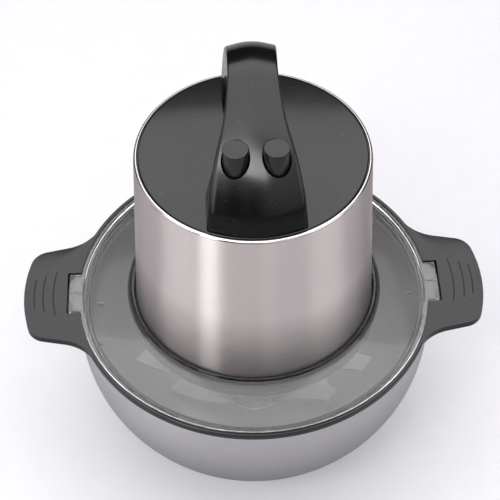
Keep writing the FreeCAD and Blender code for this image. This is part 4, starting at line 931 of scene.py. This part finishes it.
class POUNDER_OT_buttons(bpy.types.Operator):
    """Two push buttons with dished tops and stems, each on a coil spring that rides with it"""
    bl_idname = "pounder.buttons"
    bl_label = "Buttons"

    def execute(self, context):
        radius = size_of("button_radius")
        stem, stem_length = STEM
        for side, sign in (("left", -1), ("right", 1)):
            button = turned([
                (AXIS, -stem_length), (stem, -stem_length), (stem, 0), (radius, 0), (radius, BUTTON_LENGTH),
                (radius - 1.9, BUTTON_LENGTH - 0.1), (AXIS, BUTTON_LENGTH - 0.2)],
                [(4, 0.45), (3, 0.4), (1, 0.5)], 96, PLATE + BUTTON_FOOT)
            bmesh.ops.translate(button, vec=(sign * BUTTONS[0], BUTTONS[1], 0), verts=button.verts)
            piece(side + "_button_cap", button, bpy.data.materials["black_gloss"], side + "_push",
                  [side + "_button"])
            spring = self.coil()
            bmesh.ops.translate(spring, vec=(sign * BUTTONS[0], BUTTONS[1], SPRING_FOOT), verts=spring.verts)
            made = piece(side + "_coil_spring", spring, bpy.data.materials["plain_steel"], side + "_push",
                         [side + "_spring"])
            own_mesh(made)
        return {"FINISHED"}

    def coil(self):
        """Round wire wound into a spring."""
        bm = bmesh.new()
        upright = Matrix.Translation((COIL, 0, WIRE)) @ Matrix.Rotation(math.pi / 2, 4, "X")
        bmesh.ops.create_circle(bm, cap_ends=False, segments=12, radius=WIRE, matrix=upright)
        climb = (SPRING_LENGTH - 2 * WIRE) / COIL_STEPS
        spun(bm, 2 * math.pi * COIL_TURNS, COIL_STEPS, climb=climb)
        return capped(bm)


# Each lamp's name, place, aim, width, height and power
LAMPS = (
    ("overhead", (0, 0.45, 1.65), (0, 0.45, 0), 2.1, 2.8, 28),
    ("stripe", (-0.75, -0.97, 0.6), (0, 0, 0.2), 0.32, 1.2, 3.5),
    ("left", (-1.19, -0.53, 0.65), (0, 0, 0.2), 0.7, 1.0, 2.2),
    ("right", (1.12, -0.66, 0.7), (0, 0, 0.2), 0.75, 1.0, 1.9),
    ("front", (-0.2, -0.925, 1.345), (0, -0.05, 0.3), 1.0, 0.19, 4.8),
)
FLOOR_SIZE = 4.0

# Brightness of the room in reflections, by the angle round the object; the first two are the ends
ROOM_WALLS = (
    (-180, 0.0), (180, 0.0), (-125, 0.0), (-100, 0.8), (-58, 0.9), (-42, 0.9), (-28, 0.1), (-20, 0.0),
    (-9, 0.25), (-2, 0.0), (4, 0.3), (12, 0.8), (30, 1.0), (40, 0.8), (60, 0.9), (92, 0.8), (106, 0.0),
)
ROOM_TINT = (0.965, 0.955, 1.0, 1.0)
ROOM_CEILING = 0.8
ROOM_GLOW = 0.25
ROOM_SEEN = 0.95

# The camera: place and aim in metres, roll in degrees, focal length in millimetres
CAMERA_AT = (-0.02588, -0.65623, 0.94028)
CAMERA_AIM = (-0.0024, 0.0, 0.1787)
CAMERA_ROLL = -0.47
CAMERA_LENS = 108


class POUNDER_OT_stage(bpy.types.Operator):
    """Pale floor, soft lamps and the camera"""
    bl_idname = "pounder.stage"
    bl_label = "Stage"

    def execute(self, context):
        looks = context.scene.pounder_looks
        bm = bmesh.new()
        bmesh.ops.create_grid(bm, x_segments=8, y_segments=8, size=FLOOR_SIZE)
        floor = linked("floor", bm)
        floor.data.materials.append(self.floor_paint(looks.floor_colour))
        for settings in LAMPS:
            self.lamp(*settings)
        world = bpy.data.worlds.new("pale_room")
        context.scene.world = world
        world.use_nodes = True
        self.world_light(world.node_tree)
        self.camera(context.scene)
        context.scene.view_settings.view_transform = "Standard"
        return {"FINISHED"}

    def floor_paint(self, colour):
        """A pale matt floor that the camera sees close to white, with the object's shadow; in reflections its
        colour is painted darker, as painted shade of the floor near the object.
        """
        made = Paint("pale_floor", colour, Roughness=0.9, Specular_IOR_Level=0.1)
        grain = noise(made.tree, made.place, 60.0, 3.0)
        # Painted shade: reflections see the floor at a darker colour than the camera does; the grain's slight
        # darkening is the floor's own tone.
        reflected_floor_shade = math_node(made.tree, "MULTIPLY", path(made.tree, "Is Glossy Ray"), 0.42)
        made.toned(math_node(made.tree, "ADD", reflected_floor_shade, spread(made.tree, grain, 0.3, 0.7, 0.0, 0.03)),
                   colour, scaled(colour, 0.1))
        made.shader.inputs["Emission Color"].default_value = tuple(colour) + (1.0,)
        glow = spread(made.tree, across(made.tree, made.place), 0.9, 2.6, 0.16, 0.75)
        made.link(math_node(made.tree, "MULTIPLY", seen(made.tree), glow), "Emission Strength")
        return made.material

    def world_light(self, tree):
        """A white room for the camera; reflections see brighter and darker walls round the object."""
        tree.nodes.clear()
        out = tree.nodes.new("ShaderNodeOutputWorld")
        light = tree.nodes.new("ShaderNodeBackground")
        light.inputs["Color"].default_value = ROOM_TINT
        x, y, z = axes(tree, tree.nodes.new("ShaderNodeTexCoord").outputs["Generated"])
        turn = math_node(tree, "ARCTAN2", x, math_node(tree, "MULTIPLY", y, -1.0))
        walls = tree.nodes.new("ShaderNodeValToRGB")
        share = math_node(tree, "DIVIDE", turn, 2 * math.pi)
        tree.links.new(math_node(tree, "ADD", share, 0.5), walls.inputs[0])
        walls.color_ramp.interpolation = "EASE"
        stops = walls.color_ramp.elements
        for index, (angle, level) in enumerate(ROOM_WALLS):
            stop = stops[index] if index < 2 else stops.new(angle / 360 + 0.5)
            stop.color = (level, level, level, 1)
        high = spread(tree, z, 0.45, 0.75, 0.0, 1.0)
        mixed = tree.nodes.new("ShaderNodeMix")
        tree.links.new(high, mixed.inputs["Factor"])
        tree.links.new(walls.outputs["Color"], mixed.inputs["A"])
        mixed.inputs["B"].default_value = ROOM_CEILING
        shown = math_node(tree, "MULTIPLY", seen(tree), ROOM_SEEN - ROOM_GLOW)
        wall = math_node(tree, "SUBTRACT", mixed.outputs["Result"], ROOM_GLOW)
        level = math_node(tree, "ADD", shown, math_node(tree, "MULTIPLY", path(tree, "Is Glossy Ray"), wall))
        tree.links.new(math_node(tree, "ADD", level, ROOM_GLOW), light.inputs["Strength"])
        tree.links.new(light.outputs[0], out.inputs["Surface"])

    def lamp(self, name, place, aim, width, height, power):
        """A soft rectangular lamp."""
        light = bpy.data.lights.new(name, "AREA")
        light.shape = "RECTANGLE"
        light.size = width
        light.size_y = height
        light.energy = power
        holder = bpy.data.objects.new(name, light)
        bpy.context.scene.collection.objects.link(holder)
        holder.location = place
        holder.rotation_euler = (Vector(aim) - Vector(place)).to_track_quat("-Z", "Y").to_euler()

    def camera(self, scene):
        """The camera at the photograph's angle, slightly rolled."""
        lens = bpy.data.cameras.new("camera")
        lens.sensor_width = 36
        lens.lens = CAMERA_LENS
        lens.clip_start = 0.05
        lens.clip_end = 30
        holder = bpy.data.objects.new("camera", lens)
        scene.collection.objects.link(holder)
        ahead = (Vector(CAMERA_AIM) - Vector(CAMERA_AT)).normalized()
        right = ahead.cross(Vector((0, 0, 1))).normalized()
        up = right.cross(ahead)
        roll = math.radians(CAMERA_ROLL)
        cosine = math.cos(roll)
        sine = math.sin(roll)
        rolled_right = right * cosine + up * sine
        rolled_up = up * cosine - right * sine
        turn = Matrix((rolled_right, rolled_up, -ahead)).transposed()
        holder.matrix_world = Matrix.Translation(CAMERA_AT) @ turn.to_4x4()
        scene.camera = holder


class POUNDER_PT_panel(bpy.types.Panel):
    """Sizes, looks and the steps that dress the pounder"""
    bl_idname = "POUNDER_PT_panel"
    bl_label = "Yam pounder"
    bl_space_type = "VIEW_3D"
    bl_region_type = "UI"
    bl_category = "Pounder"

    def draw(self, context):
        for settings in (context.scene.pounder_sizes, context.scene.pounder_looks):
            for name in settings.__annotations__:
                self.layout.prop(settings, name)
        for step in STEPS:
            self.layout.operator(step.bl_idname)


STEPS = (POUNDER_OT_materials, POUNDER_OT_ring, POUNDER_OT_lid, POUNDER_OT_head, POUNDER_OT_handle,
         POUNDER_OT_buttons, POUNDER_OT_stage)
CLASSES = (PounderLooks, PounderSizes) + STEPS + (POUNDER_PT_panel,)


def register():
    for made in CLASSES:
        bpy.utils.register_class(made)
    bpy.types.Scene.pounder_looks = bpy.props.PointerProperty(type=PounderLooks)
    bpy.types.Scene.pounder_sizes = bpy.props.PointerProperty(type=PounderSizes)


def unregister():
    del bpy.types.Scene.pounder_sizes
    del bpy.types.Scene.pounder_looks
    for made in reversed(CLASSES):
        bpy.utils.unregister_class(made)


def main():
    register()
    bpy.ops.pounder.materials()
    bpy.ops.pounder.ring()
    bpy.ops.pounder.lid()
    bpy.ops.pounder.head()
    bpy.ops.pounder.handle()
    bpy.ops.pounder.buttons()
    bpy.ops.pounder.stage()


if __name__ == "__main__":
    main()
